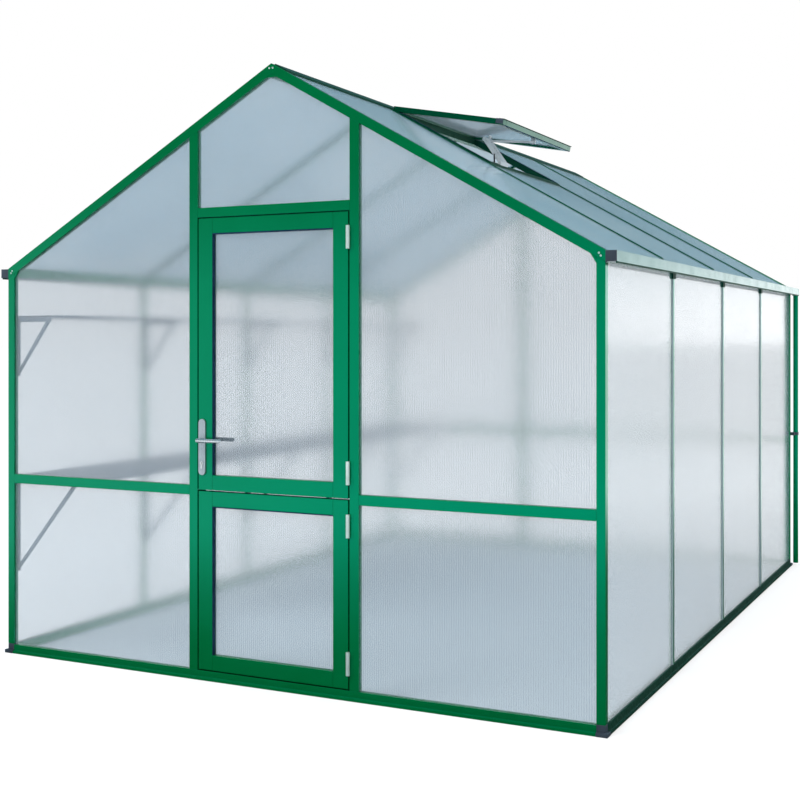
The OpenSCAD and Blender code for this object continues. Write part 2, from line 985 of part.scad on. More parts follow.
module handle_plates() {
    color("lightslategray") {
        handle_plate(-plate_t, -plate_t - lock_proud, -overlap);
        handle_plate(leaf_t, leaf_t + overlap, leaf_t + plate_t + lock_proud);
    }
}

module grip(y0) {
    far = lever_x + grip_l;
    box(lever_x, far, y0, y0 + grip_t, lever_z - grip_r, lever_z + grip_r);
    y_cylinder(lever_x, lever_z, grip_r, y0, y0 + grip_t);
    y_cylinder(far, lever_z, grip_r, y0, y0 + grip_t);
}

module door_lever() {
    step = 0.5;
    color("silver")
        union() {
            grip(-lever_out);
            grip(leaf_t + lever_out - grip_t);
            tip = lever_out - grip_t / 2;
            y_cylinder(lever_x, lever_z, neck_r, -tip, -step);
            y_cylinder(lever_x, lever_z, neck_r, leaf_t + step, leaf_t + tip);
            y_cylinder(lever_x, lever_z, spindle_r, -tip, leaf_t + tip);
        }
}

place() {
    base_rails_gable();
    base_rails_side();
    base_corner_feet();
    corner_posts();
    mullions();
    mid_rails();
    door_header();
    rafters_left();
    rafters_right();
    frame_gussets();
    side_bars();
    eave_beams();
    roof_bars();
    ridge_beam();
    ridge_cap();
    gutter_left();
    gutter_right();
    gutter_end_caps();
    downpipe_sides();
    downpipe_faces();
    pipe_clips();
    pipe_clip_sides();
    front_panes();
    rear_panes();
    side_panes();
    roof_panes();
    vent_hinge_rail();
    vent_kerbs();
    vent_sill();
    vent_sash_rails();
    vent_sash_stiles();
    vent_sash_corners();
    vent_pane();
    vent_opener();
    shelf_upper();
    shelf_lower();
    shelf_brackets();
    door_hinge_pins();
    upper_leaf_stiles();
    upper_leaf_rails();
    upper_leaf_pane();
    upper_leaf_barrels();
    handle_plates();
    door_lever();
    lower_leaf_stiles();
    lower_leaf_rails();
    lower_leaf_pane();
    lower_leaf_barrels();
}
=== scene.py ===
"""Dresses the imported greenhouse: powder-coated frame, twin-wall sheets, fittings and a plain studio."""

import logging
import math
from dataclasses import dataclass
from enum import Enum
from typing import Iterable, Sequence

import bmesh
import bpy
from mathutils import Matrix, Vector


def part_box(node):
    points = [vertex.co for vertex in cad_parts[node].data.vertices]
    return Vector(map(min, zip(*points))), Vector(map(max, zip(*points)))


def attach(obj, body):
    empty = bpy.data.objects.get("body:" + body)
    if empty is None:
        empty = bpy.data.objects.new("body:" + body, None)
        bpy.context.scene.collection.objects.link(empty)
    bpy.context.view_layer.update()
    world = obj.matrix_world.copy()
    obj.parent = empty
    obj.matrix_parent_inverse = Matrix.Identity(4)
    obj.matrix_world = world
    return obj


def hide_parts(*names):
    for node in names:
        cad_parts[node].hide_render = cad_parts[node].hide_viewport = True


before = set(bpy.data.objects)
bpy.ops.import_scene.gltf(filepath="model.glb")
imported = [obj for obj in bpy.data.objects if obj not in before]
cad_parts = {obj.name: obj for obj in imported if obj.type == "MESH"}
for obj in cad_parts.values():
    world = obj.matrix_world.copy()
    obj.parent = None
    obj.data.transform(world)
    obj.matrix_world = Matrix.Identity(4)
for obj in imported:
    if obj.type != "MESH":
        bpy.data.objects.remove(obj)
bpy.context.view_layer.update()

LOG = logging.getLogger("greenhouse")
MM = 0.001
WELD = 0.00002
FLAT = 0.01
SHARP = math.radians(22)
CREASE = math.radians(38)
TINY = 1e-7
RGB = tuple[float, float, float]
Spot = tuple[float, float, float]
Outline = list[tuple[float, float]]
Inputs = dict[str | int, object]


class Body(Enum):
    """The bodies that a piece can ride on."""

    FRAME = "frame"
    UPPER = "upper_leaf"
    LOWER = "lower_leaf"
    LEVER = "lever"


class Slot(Enum):
    """The record's material slots."""

    GREEN = "green_frame"
    DARK = "dark_plastic"
    SHEET = "polycarbonate"
    HINGE = "hinge_metal"
    HANDLE = "handle_metal"
    OPENER = "opener_metal"
    SHELF = "shelf_metal"


class SheetUse(Enum):
    """Where a twin-wall sheet is glazed in."""

    WALL = "wall"
    SIDE = "side"
    ROOF = "roof"
    VENT = "vent"


# ---- Finishes ----


class Wires:
    """Adds and joins the nodes of one tree.

    Args:
        tree: The node tree, which is emptied first.
    """

    def __init__(self, tree: bpy.types.NodeTree) -> None:
        """Empties the tree."""
        self.tree = tree
        tree.nodes.clear()

    def join(self, entry: bpy.types.NodeSocket, value: object) -> None:
        """Links a node's output to an input, or sets the input's value."""
        if isinstance(value, bpy.types.NodeSocket):
            self.tree.links.new(value, entry)
        else:
            entry.default_value = value

    def add(self, kind: str, inputs: Inputs | None = None, **settings: object) -> bpy.types.Node:
        """Adds one node.

        Args:
            kind: The node's type, after ShaderNode.
            inputs: Another node's outputs, or values, by the input's name or number.
            settings: The node's own properties.

        Returns:
            The node.
        """
        node = self.tree.nodes.new("ShaderNode" + kind)
        for key, value in settings.items():
            setattr(node, key, value)
        for key, value in (inputs or {}).items():
            self.join(node.inputs[key], value)
        return node

    def math(self, operation: str, *values: object) -> bpy.types.NodeSocket:
        """Adds a math node on outputs or numbers and returns its output."""
        return self.add("Math", dict(enumerate(values)), operation=operation).outputs[0]

    def ramp(self, factor: bpy.types.NodeSocket, stops: Sequence[tuple[float, RGB]]) -> bpy.types.NodeSocket:
        """Adds a colour ramp.

        Args:
            factor: The output that chooses the colour.
            stops: Its levels and their colours, in order.

        Returns:
            The colour's output.
        """
        node = self.add("ValToRGB", {"Fac": factor})
        elements = node.color_ramp.elements
        for level, _ in stops[2:]:
            elements.new(level)
        for element, (level, color) in zip(elements, stops):
            element.position = level
            element.color = (*color, 1)
        return node.outputs["Color"]


class NodeDesk(Wires):
    """A material under construction.

    Args:
        name: The material's name.
    """

    def __init__(self, name: str) -> None:
        """Starts an empty material with an output and a Principled shader."""
        self.material = bpy.data.materials.new(name)
        self.material.use_nodes = True
        super().__init__(self.material.node_tree)
        self.output = self.add("OutputMaterial")
        self.shader = self.add("BsdfPrincipled")
        self.join(self.output.inputs["Surface"], self.shader.outputs["BSDF"])
        self.place = self.add("TexCoord").outputs["Object"]

    def put(self, **values: object) -> None:
        """Sets or links the shader's inputs by name, with underscores for spaces."""
        for key, value in values.items():
            self.join(self.shader.inputs[key.replace("_", " ")], value)

    def noise(
        self, scale: float, detail: float = 3.0, stretch: Sequence[float] = (1, 1, 1),
    ) -> bpy.types.NodeSocket:
        """Adds a noise texture in object space.

        Args:
            scale: Features a metre.
            detail: Octaves of detail.
            stretch: Scale along each axis.

        Returns:
            The noise's output.
        """
        mapping = self.add("Mapping", {"Vector": self.place, "Scale": stretch})
        inputs = {"Vector": mapping.outputs["Vector"], "Scale": scale, "Detail": detail}
        return self.add("TexNoise", inputs).outputs["Fac"]

    def blend(self, factor: bpy.types.NodeSocket, low: RGB, high: RGB) -> bpy.types.NodeSocket:
        """Mixes two colours over the middle of a noise and returns the colour's output."""
        return self.ramp(factor, ((0.35, low), (0.65, high)))

    def spread(self, factor: bpy.types.NodeSocket, low: float, high: float) -> bpy.types.NodeSocket:
        """Maps the middle of a noise onto a range of numbers and returns its output."""
        inputs = {"Value": factor, "From Min": 0.3, "From Max": 0.7, "To Min": low, "To Max": high}
        return self.add("MapRange", inputs).outputs["Result"]

    def bump(self, height: bpy.types.NodeSocket, depth: float, strength: float = 1.0) -> None:
        """Raises the surface by a height.

        Args:
            height: The output with the height.
            depth: Depth in metres.
            strength: Share of the effect.
        """
        inputs = {"Height": height, "Distance": depth, "Strength": strength}
        self.put(Normal=self.add("Bump", inputs).outputs["Normal"])


@dataclass(frozen=True)
class PowderCoat:
    """A glossy powder coat with a faint orange peel and slight drifts of tone."""

    name: str
    dark: RGB
    light: RGB
    gloss_tint: RGB
    roughness: float = 0.2
    ior: float = 1.7

    def make(self) -> bpy.types.Material:
        """Builds the material."""
        desk = NodeDesk(self.name)
        desk.put(Base_Color=desk.blend(desk.noise(2.2, 4.0), self.dark, self.light))
        desk.put(Roughness=desk.spread(desk.noise(9.0, 5.0), self.roughness * 0.8, self.roughness * 1.3))
        desk.put(IOR=self.ior, Specular_Tint=(*self.gloss_tint, 1))
        desk.bump(desk.noise(420.0, 2.0), 0.00012, 0.35)
        return desk.material


@dataclass(frozen=True)
class Moulding:
    """A moulded plastic or rubber with a fine grain."""

    name: str
    dark: RGB
    light: RGB
    roughness: float = 0.5
    shine: float = 0.5
    shine_tint: RGB = (1.0, 1.0, 1.0)

    def make(self) -> bpy.types.Material:
        """Builds the material."""
        desk = NodeDesk(self.name)
        desk.put(Specular_IOR_Level=self.shine, Specular_Tint=(*self.shine_tint, 1))
        desk.put(Base_Color=desk.blend(desk.noise(14.0, 4.0), self.dark, self.light))
        grain = desk.spread(desk.noise(60.0, 3.0), self.roughness * 0.85, self.roughness * 1.2)
        desk.put(Roughness=grain)
        desk.bump(desk.noise(900.0, 3.0), 0.0001, 0.6)
        return desk.material


@dataclass(frozen=True)
class DrawnMetal:
    """Bare or plated metal with drawing lines along one direction."""

    name: str
    dark: RGB
    light: RGB
    metallic: float = 0.85
    roughness: float = 0.3
    stretch: tuple[float, float, float] = (1.0, 1.0, 0.04)

    def make(self) -> bpy.types.Material:
        """Builds the material."""
        desk = NodeDesk(self.name)
        lines = desk.noise(500.0, 4.0, self.stretch)
        desk.put(Base_Color=desk.blend(desk.noise(12.0, 4.0), self.dark, self.light))
        desk.put(Roughness=desk.spread(lines, self.roughness * 0.75, self.roughness * 1.35))
        desk.put(Metallic=self.metallic)
        desk.bump(lines, 0.00004, 0.5)
        return desk.material


@dataclass(frozen=True)
class SheetSkin:
    """The outer skins of a twin-wall sheet: part clear, with faint cloudy drifts."""

    name: str
    dark: RGB
    light: RGB
    alpha: float
    roughness: float = 0.08
    cloud: float = 1.6

    def make(self) -> bpy.types.Material:
        """Builds the material."""
        desk = NodeDesk(self.name)
        desk.put(Base_Color=desk.blend(desk.noise(self.cloud, 5.0, (1, 1, 0.5)), self.dark, self.light))
        desk.put(Alpha=self.alpha, Roughness=self.roughness, IOR=1.5)
        return desk.material


@dataclass(frozen=True)
class SheetCore:
    """The clear cells between a sheet's skins, which soften what is seen through them."""

    name: str
    color: RGB
    roughness: float = 0.145
    ior: float = 1.45

    def make(self) -> bpy.types.Material:
        """Builds the material."""
        desk = NodeDesk(self.name)
        desk.put(Base_Color=(*self.color, 1), Transmission_Weight=1.0, IOR=self.ior, Roughness=self.roughness)
        return desk.material


class Paints:
    """All of the building's finishes, each made once."""

    def __init__(self) -> None:
        """Makes every finish."""
        cyan = (0.0, 1.0, 0.72)
        self.green = PowderCoat(
            "green_powder_coat", (0.0, 0.108, 0.024), (0.0, 0.125, 0.03), cyan, 0.13, 2.0,
        ).make()
        # A darker, less glossy copy of the green coat for the roof bars and the vent's sash: painted shade.
        self.shade = PowderCoat(
            "shaded_roof_green_coat", (0.0, 0.04, 0.014), (0.0, 0.05, 0.018), cyan, 0.22, 1.6,
        ).make()
        # A paler, greyer copy of the green for the gutters, with a pale gloss: painted reflection of the
        # white surroundings.
        self.gutter = PowderCoat(
            "gutter_coat_with_painted_sheen", (0.03, 0.12, 0.1), (0.04, 0.14, 0.12), (0.6, 1.0, 0.95), 0.2, 1.9,
        ).make()
        # A near-black dull copy of the green: painted shade on the side base rails, ridge cap, vent kerbs,
        # hinge rail and sill and under the gutters, and the colour of the eave clips and the vent's drip lip.
        self.trim_and_shade = Moulding(
            "dark_green_trim_and_painted_shade", (0.001, 0.026, 0.013), (0.003, 0.036, 0.018), 0.6, 0.35, (0.1, 1.0, 0.7),
        ).make()
        self.bead = Moulding("pale_bead", (0.3, 0.37, 0.4), (0.34, 0.41, 0.44), 0.5).make()
        # Navy rubber for the vent's seals and kerbs, and also painted shade as strips in the door's reveals
        # and gaps.
        self.seal = Moulding("navy_rubber_and_painted_shade", (0.004, 0.022, 0.05), (0.008, 0.035, 0.075), 0.7, 0.15).make()
        self.slate = Moulding("slate_plastic", (0.02, 0.03, 0.045), (0.035, 0.05, 0.07), 0.45).make()
        self.barrel = DrawnMetal("pale_satin_metal", (0.62, 0.75, 0.7), (0.75, 0.87, 0.83), 0.6, 0.4).make()
        self.steel = DrawnMetal("bolt_steel", (0.55, 0.6, 0.6), (0.75, 0.8, 0.8), 0.9, 0.3).make()
        self.plate = DrawnMetal("satin_plate", (0.36, 0.42, 0.46), (0.46, 0.52, 0.56), 0.7, 0.32).make()
        self.grip = DrawnMetal("bright_grip", (0.55, 0.6, 0.64), (0.7, 0.75, 0.78), 0.9, 0.25).make()
        self.cast = DrawnMetal(
            "cast_alloy", (0.5, 0.54, 0.57), (0.66, 0.7, 0.73), 0.5, 0.42, (1, 1, 1),
        ).make()
        # The shelves' metal is dark grey-blue: painted shade of shelves in the shadowed inside.
        self.shaded_shelf_metal = DrawnMetal(
            "shelf_aluminium_in_painted_shade", (0.15, 0.18, 0.22), (0.2, 0.235, 0.28), 0.2, 0.5, (1, 0.03, 1),
        ).make()
        self.bracket = DrawnMetal("bracket_aluminium", (0.14, 0.18, 0.22), (0.2, 0.24, 0.28), 0.4, 0.4).make()
        # A near-black metal that stands for grey metal in shade: painted shade on the inner lever and the
        # opener's rod.
        self.shadow_metal = DrawnMetal("shadow_grip_metal", (0.008, 0.014, 0.02), (0.02, 0.03, 0.04), 0.3, 0.4).make()
        # Near-black marks that stand for the key slots and the opener's bores: painted shade in recesses.
        self.hole_shade = Moulding("painted_hole_shade", (0.003, 0.004, 0.006), (0.008, 0.01, 0.013), 0.7).make()
        # One polycarbonate in lit and shaded copies by where it is glazed: the roof's brighter, bluer and
        # less clear skins are painted reflection and light of the sky, the vent's darker skins are painted
        # shade, and the cores differ a little in the same way.
        self.skin = {
            SheetUse.WALL: SheetSkin("wall_sheet", (0.46, 0.56, 0.65), (0.5, 0.6, 0.69), 0.1).make(),
            SheetUse.SIDE: SheetSkin("side_sheet", (0.46, 0.58, 0.68), (0.5, 0.62, 0.72), 0.13).make(),
            SheetUse.ROOF: SheetSkin("roof_sheet", (0.5, 0.77, 0.93), (0.62, 0.86, 0.98), 0.48).make(),
            SheetUse.VENT: SheetSkin("vent_sheet", (0.2, 0.34, 0.47), (0.3, 0.46, 0.57), 0.36).make(),
        }
        self.rib = SheetSkin("sheet_ribs", (0.6, 0.72, 0.8), (0.64, 0.76, 0.84), 0.09).make()
        self.core = {
            SheetUse.WALL: SheetCore("wall_core", (0.87, 0.875, 0.88)).make(),
            SheetUse.SIDE: SheetCore("side_core", (0.92, 0.925, 0.93)).make(),
            SheetUse.ROOF: SheetCore("roof_core", (0.93, 0.95, 0.96)).make(),
            SheetUse.VENT: SheetCore("vent_core", (0.85, 0.92, 0.96)).make(),
        }


# ---- Shapes ----


class Shape:
    """A mesh under construction, in metres in the building's frame."""

    def __init__(self) -> None:
        """Starts empty."""
        self.mesh = bmesh.new()

    def node(self, name: str) -> "Shape":
        """Adds a copy of a CAD node's solids with their flat faces whole again.

        Args:
            name: The CAD node.

        Returns:
            This shape.
        """
        self.mesh.from_mesh(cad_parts[name].data)
        bmesh.ops.remove_doubles(self.mesh, verts=self.mesh.verts, dist=WELD)
        bmesh.ops.dissolve_limit(
            self.mesh, angle_limit=FLAT, verts=self.mesh.verts, edges=self.mesh.edges, delimit=set()
        )
        return self

    def corners(self, points: Sequence[Sequence[float]], faces: Sequence[Sequence[int]]) -> "Shape":
        """Adds a closed solid from its corners and faces, and returns this shape."""
        made = [self.mesh.verts.new(p) for p in points]
        for face in faces:
            self.mesh.faces.new([made[i] for i in face])
        return self

    def block(self, low: Sequence[float], high: Sequence[float]) -> "Shape":
        """Adds a box between two corners, and returns this shape."""
        (a, b, c), (d, e, f) = low, high
        points = [(x, y, z) for x in (a, d) for y in (b, e) for z in (c, f)]
        faces = [(0, 1, 3, 2), (4, 6, 7, 5), (0, 4, 5, 1), (2, 3, 7, 6), (0, 2, 6, 4), (1, 5, 7, 3)]
        return self.corners(points, faces)

    def ring(self, centre: Vector, axis: Vector, profile: Outline, sides: int = 32) -> "Shape":
        """Turns a closed profile about an axis.

        Args:
            centre: A point on the axis.
            axis: The axis's direction.
            profile: Radius and height pairs, all with a radius above zero or ending at zero.
            sides: Facets round the axis.

        Returns:
            This shape.
        """
        wide, high, up = Vector(axis).to_track_quat("Z", "Y").to_matrix().transposed()
        rows: list[Sequence[bmesh.types.BMVert]] = []
        for radius, height in profile:
            spot = Vector(centre) + up * height
            if radius < TINY:
                rows.append([self.mesh.verts.new(spot)] * sides)
            else:
                rows.append(self.round(spot, wide * radius, high * radius, sides))
        loop = list(zip(rows, rows[1:]))
        if profile[0][0] > TINY and profile[-1][0] > TINY:
            loop.append((rows[-1], rows[0]))
        for lower, upper in loop:
            for i in range(sides):
                j = (i + 1) % sides
                corner = [lower[i], lower[j], upper[j], upper[i]]
                unique = [v for k, v in enumerate(corner) if v not in corner[:k]]
                if len(unique) > 2:
                    self.mesh.faces.new(unique)
        return self

    def prism(self, outline: Sequence[Vector], along: Vector) -> "Shape":
        """Adds a solid that runs from a flat outline along a vector, and returns this shape."""
        near = [self.mesh.verts.new(p) for p in outline]
        far = [self.mesh.verts.new(Vector(p) + Vector(along)) for p in outline]
        self.mesh.faces.new(near)
        self.mesh.faces.new(list(reversed(far)))
        count = len(near)
        for i in range(count):
            j = (i + 1) % count
            self.mesh.faces.new([near[j], near[i], far[i], far[j]])
        return self

    def round(
        self, centre: Vector, wide: Vector, high: Vector, sides: int, power: float = 2.0,
    ) -> list[bmesh.types.BMVert]:
        """Adds a round of corners.

        Args:
            centre: Its middle.
            wide: Its half width as a vector.
            high: Its half height as a vector.
            sides: The number of corners.
            power: Its squareness, where 2 is an ellipse.

        Returns:
            The corners.
        """
        corners = []
        for k in range(sides):
            angle = 2 * math.pi * k / sides
            a, b = (math.copysign(abs(x) ** (2 / power), x) for x in (math.cos(angle), math.sin(angle)))
            corners.append(self.mesh.verts.new(centre + wide * a + high * b))
        return corners

    def skin(self, rows: Sequence[Sequence[bmesh.types.BMVert]]) -> "Shape":
        """Joins rounds of corners into a solid with closed ends, and returns this shape."""
        for lower, upper in zip(rows, rows[1:]):
            for k in range(len(lower)):
                j = (k + 1) % len(lower)
                self.mesh.faces.new([lower[k], lower[j], upper[j], upper[k]])
        self.mesh.faces.new(list(reversed(rows[0])))
        self.mesh.faces.new(rows[-1])
        return self

    def loft(
        self, sections: Sequence[tuple[Vector, Vector, Vector]], sides: int, power: float = 2.0,
    ) -> "Shape":
        """Skins a run of rounded sections and closes both ends.

        Args:
            sections: Each section's centre and its two half widths as vectors.
            sides: Facets round each section.
            power: Squareness of the sections, where 2 is an ellipse.

        Returns:
            This shape.
        """
        return self.skin([self.round(*section, sides, power) for section in sections])

    def bolt(self, spot: Vector, facing: Vector, radius: float, height: float) -> "Shape":
        """Adds a domed bolt head with a socket.

        Args:
            spot: The middle of its seat.
            facing: The way it faces.
            radius: The head's radius.
            height: Its height over the seat.

        Returns:
            This shape.
        """
        outline = [(radius, -MM), (radius, 0.25 * height)]
        outline += [(radius * math.cos(t), height * (0.25 + 0.75 * math.sin(t))) for t in (0.35, 0.7, 1.0)]
        outline += [(radius * 0.42, height * 0.95), (radius * 0.36, height * 0.35), (0, height * 0.3)]
        return self.ring(spot, facing, outline, 20)

    def islands(self) -> list[list[bmesh.types.BMFace]]:
        """Returns the separate solids, each as a list of faces."""
        left = dict.fromkeys(self.mesh.faces)
        found = []
        while left:
            stack = [left.popitem()[0]]
            group = []
            while stack:
                face = stack.pop()
                group.append(face)
                for edge in face.edges:
                    for other in edge.link_faces:
                        if other in left:
                            del left[other]
                            stack.append(other)
            found.append(group)
        return found

    def soften(self, width: float, segments: int = 2) -> "Shape":
        """Rounds the sharp outer edges of each solid.

        Args:
            width: Width of the rounding.
            segments: Facets across it.

        Returns:
            This shape.
        """
        found = [
            list(dict.fromkeys(
                edge for face in group for edge in face.edges
                if len(edge.link_faces) == 2 and edge.calc_face_angle_signed(0) > SHARP
            ))
            for group in self.islands()
        ]
        for edges in found:
            if edges:
                bmesh.ops.bevel(
                    self.mesh, geom=edges, offset=width, offset_type="OFFSET", segments=segments,
                    profile=0.5, affect="EDGES", clamp_overlap=True,
                )
        return self

    def piece(
        self, name: str, paint: bpy.types.Material, slot: Slot, body: Body, stands_for: Iterable[str] = (),
    ) -> bpy.types.Object:
        """Turns the shape into a piece of the building.

        Args:
            name: The piece's name.
            paint: Its material.
            slot: The record's slot that the finish belongs to; not used.
            body: The body it rides on.
            stands_for: CAD nodes that it replaces.

        Returns:
            The new object.
        """
        bmesh.ops.recalc_face_normals(self.mesh, faces=self.mesh.faces)
        data = bpy.data.meshes.new(name)
        self.mesh.to_mesh(data)
        self.mesh.free()
        data.shade_smooth()
        data.set_sharp_from_angle(angle=CREASE)
        data.materials.append(paint)
        thing = bpy.data.objects.new(name, data)
        bpy.context.scene.collection.objects.link(thing)
        even = thing.modifiers.new("flat_faces_first", "WEIGHTED_NORMAL")
        even.keep_sharp = True
        even.weight = 90
        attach(thing, body.value)
        if stands_for:
            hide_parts(*stands_for)
        LOG.info("%s: %d faces on %s", name, len(data.polygons), body.value)
        return thing


# ---- Sub-assemblies ----


def solid_points(node: str) -> list[list[Vector]]:
    """Returns the corners of each solid of a CAD node."""
    shape = Shape().node(node)
    points = [[v.co.copy() for face in group for v in face.verts] for group in shape.islands()]
    shape.mesh.free()
    return points


@dataclass
class FrameMembers:
    """The coated profiles, each with its edges rounded, and plates of the plain green on the inner faces of
    members whose outer coats are darker copies of the green as painted shade.
    """

    paints: Paints
    rounding: float = 1.5 * MM
    fine_rounding: float = 0.5 * MM
    frame_nodes: tuple[str, ...] = (
        "base_rails_gable", "corner_posts", "mullions", "mid_rails", "door_header",
        "rafters_left", "rafters_right", "frame_gussets", "side_bars", "eave_beams", "ridge_beam",
    )
    # Roof members given the darker copy of the green: painted shade.
    shaded_roof_nodes: tuple[str, ...] = ("roof_bars", "vent_sash_rails", "vent_sash_stiles", "vent_sash_corners")
    # Members given the near-black copy of the green: painted shade.
    shaded_trim_nodes: tuple[str, ...] = (
        "base_rails_side", "ridge_cap", "vent_hinge_rail", "vent_kerbs", "vent_sill",
    )
    # The gutters take the paler copy of the green: painted reflection.
    thin_nodes: tuple[str, ...] = ("gutter_left", "gutter_right")
    lit_inner_nodes: tuple[str, ...] = ("roof_bars", "base_rails_side")
    lining: float = 0.6 * MM
    faces_in: float = 0.7

    def build(self) -> None:
        """Builds the members that stay on the building."""
        for nodes, rounding, paint in (
            (self.frame_nodes, self.rounding, self.paints.green),
            (self.shaded_roof_nodes, self.rounding, self.paints.shade),
            (self.shaded_trim_nodes, self.rounding, self.paints.trim_and_shade),
            (self.thin_nodes, self.fine_rounding, self.paints.gutter),
        ):
            for node in nodes:
                shape = Shape().node(node).soften(rounding)
                shape.piece(node + "_coated", paint, Slot.GREEN, Body.FRAME, [node])
        for node in self.lit_inner_nodes:
            self.lit_inner_plates_of(node).piece(node + "_lit_inner_plates", self.paints.green, Slot.GREEN, Body.FRAME)

    def lit_inner_plates_of(self, node: str) -> Shape:
        """Builds thin plates of the brighter plain green over the faces of a member that look into the room,
        against its painted-shade coat outside.

        Args:
            node: The CAD node with the members.

        Returns:
            The plates' shape.
        """
        member, plates = Shape().node(node), Shape()
        for face in member.mesh.faces:
            inwards = Vector((-math.copysign(1, face.calc_center_median().x), 0, 0))
            if node == "roof_bars":
                inwards = Vector((0, 0, -1))
            if face.normal.dot(inwards) > self.faces_in:
                plates.prism([v.co.copy() for v in face.verts], face.normal * self.lining)
        member.mesh.free()
        return plates


@dataclass
class DoorLeaves:
    """The two leaves' stiles and rails."""

    paints: Paints
    rounding: float = 1.8 * MM

    def build(self) -> None:
        """Builds both leaves."""
        for body, prefix in ((Body.UPPER, "upper_leaf"), (Body.LOWER, "lower_leaf")):
            for part in ("stiles", "rails"):
                node = prefix + "_" + part
                shape = Shape().node(node).soften(self.rounding)
                shape.piece(node + "_coated", self.paints.green, Slot.GREEN, body, [node])


@dataclass
class PaneLayout:
    """One sheet's flat outline and directions, taken from its solid."""

    origin: Vector
    across: Vector
    along: Vector
    normal: Vector
    outline: Outline
    thickness: float

    def spot(self, u: float, v: float, n: float) -> Vector:
        """Returns the point at u across, v along and n square to the outer skin."""
        return self.origin + self.across * u + self.along * v + self.normal * n

    def reach(self, u: float) -> tuple[float, float] | None:
        """Returns the outline's lowest and highest v at u, or None outside it."""
        hits = []
        count = len(self.outline)
        for i in range(count):
            (u0, v0), (u1, v1) = self.outline[i], self.outline[(i + 1) % count]
            if min(u0, u1) <= u <= max(u0, u1) and abs(u1 - u0) > 1e-9:
                hits.append(v0 + (v1 - v0) * (u - u0) / (u1 - u0))
        return (min(hits), max(hits)) if len(hits) > 1 else None

    def inset(self, margin: float) -> Outline:
        """Returns the outline moved inwards by a margin on every side."""
        count = len(self.outline)
        lines = []
        for i in range(count):
            a, b = Vector(self.outline[i]), Vector(self.outline[(i + 1) % count])
            run = (b - a).normalized()
            lines.append((a + Vector((-run.y, run.x)) * margin, run))
        corners = []
        for i in range(count):
            (p, d), (q, e) = lines[i - 1], lines[i]
            det = d.x * e.y - d.y * e.x
            step = ((q - p).x * e.y - (q - p).y * e.x) / det
            corners.append(tuple(p + d * step))
        return corners


def read_panes(node: str) -> list[PaneLayout]:
    """Reads each sheet of a CAD node as an outline with directions.

    Args:
        node: The CAD node with flat sheets.

    Returns:
        One layout for each sheet.
    """
    shape = Shape().node(node)
    layouts = []
    middle = Vector((0, 0, 1))
    for group in shape.islands():
        face = max(group, key=lambda f: f.calc_area())
        centre = sum((f.calc_center_median() for f in group), Vector()) / len(group)
        normal = face.normal.normalized()
        outward = Vector((centre.x, centre.y, 0)) + middle
        if normal.dot(outward) < 0:
            normal = -normal
        along = (Vector((0, 0, 1)) - normal * normal.z).normalized()
        across = along.cross(normal)
        spots = [v.co.copy() for v in face.verts]
        levels = [v.co.dot(normal) for f in group for v in f.verts]
        top = max(levels)
        flat = [(p.dot(across), p.dot(along)) for p in spots]
        area = sum(a[0] * b[1] - b[0] * a[1] for a, b in zip(flat, flat[1:] + flat[:1]))
        if area < 0:
            flat.reverse()
        origin = normal * top
        layouts.append(PaneLayout(origin, across, along, normal, flat, top - min(levels)))
    shape.mesh.free()
    return layouts


@dataclass
class Glazing:
    """The twin-wall sheets: CAD slabs as skins, with a clear core and fine ribs within them."""

    paints: Paints
    pitch: float = 10.5 * MM
    rib_width: float = 2.4 * MM
    rib_depth: tuple[float, float] = (0.08 * MM, 0.22 * MM)
    skin_gap: float = 0.3 * MM
    uses: tuple[tuple[str, SheetUse, Body], ...] = (
        ("front_panes", SheetUse.WALL, Body.FRAME),
        ("rear_panes", SheetUse.WALL, Body.FRAME),
        ("side_panes", SheetUse.SIDE, Body.FRAME),
        ("roof_panes", SheetUse.ROOF, Body.FRAME),
        ("vent_pane", SheetUse.VENT, Body.FRAME),
        ("upper_leaf_pane", SheetUse.WALL, Body.UPPER),
        ("lower_leaf_pane", SheetUse.WALL, Body.LOWER),
    )

    def build(self) -> None:
        """Dresses the skins and builds what lies between them."""
        for node, use, body in self.uses:
            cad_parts[node].data.materials.clear()
            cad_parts[node].data.materials.append(self.paints.skin[use])
            layouts = read_panes(node)
            inner = (
                self.ribs(layouts).piece(node + "_ribs", self.paints.rib, Slot.SHEET, body),
                self.core(layouts).piece(node + "_core", self.paints.core[use], Slot.SHEET, body),
            )
            for piece in inner:
                piece.visible_shadow = False
                piece.visible_diffuse = False

    def core(self, layouts: Sequence[PaneLayout]) -> Shape:
        """Builds the clear cells of some sheets as one thin body a sheet.

        Args:
            layouts: The sheets.

        Returns:
            The cores' shape.
        """
        shape = Shape()
        for sheet in layouts:
            outline = [sheet.spot(u, v, -self.skin_gap) for u, v in sheet.inset(MM)]
            shape.prism(outline, sheet.normal * (2 * self.skin_gap - sheet.thickness))
        return shape

    def ribs(self, layouts: Sequence[PaneLayout]) -> Shape:
        """Builds the fine lines that the webs of some sheets show through the outer skin.

        Args:
            layouts: The sheets.

        Returns:
            The ribs' shape.
        """
        shape = Shape()
        half = self.rib_width / 2
        top, foot = self.rib_depth
        for sheet in layouts:
            first = min(u for u, _ in sheet.outline) + self.pitch / 2
            last = max(u for u, _ in sheet.outline)
            for i in range(int((last - first) / self.pitch) + 1):
                u = first + i * self.pitch
                left, right = sheet.reach(u - half), sheet.reach(u + half)
                if left is None or right is None:
                    continue
                low = max(left[0], right[0]) + MM
                high = min(left[1], right[1]) - MM
                if high - low < 10 * MM:
                    continue
                section = ((-half, -top), (half, -top), (half, -foot), (-half, -foot))
                shape.prism([sheet.spot(u + a, low, b) for a, b in section], sheet.along * (high - low))
        return shape


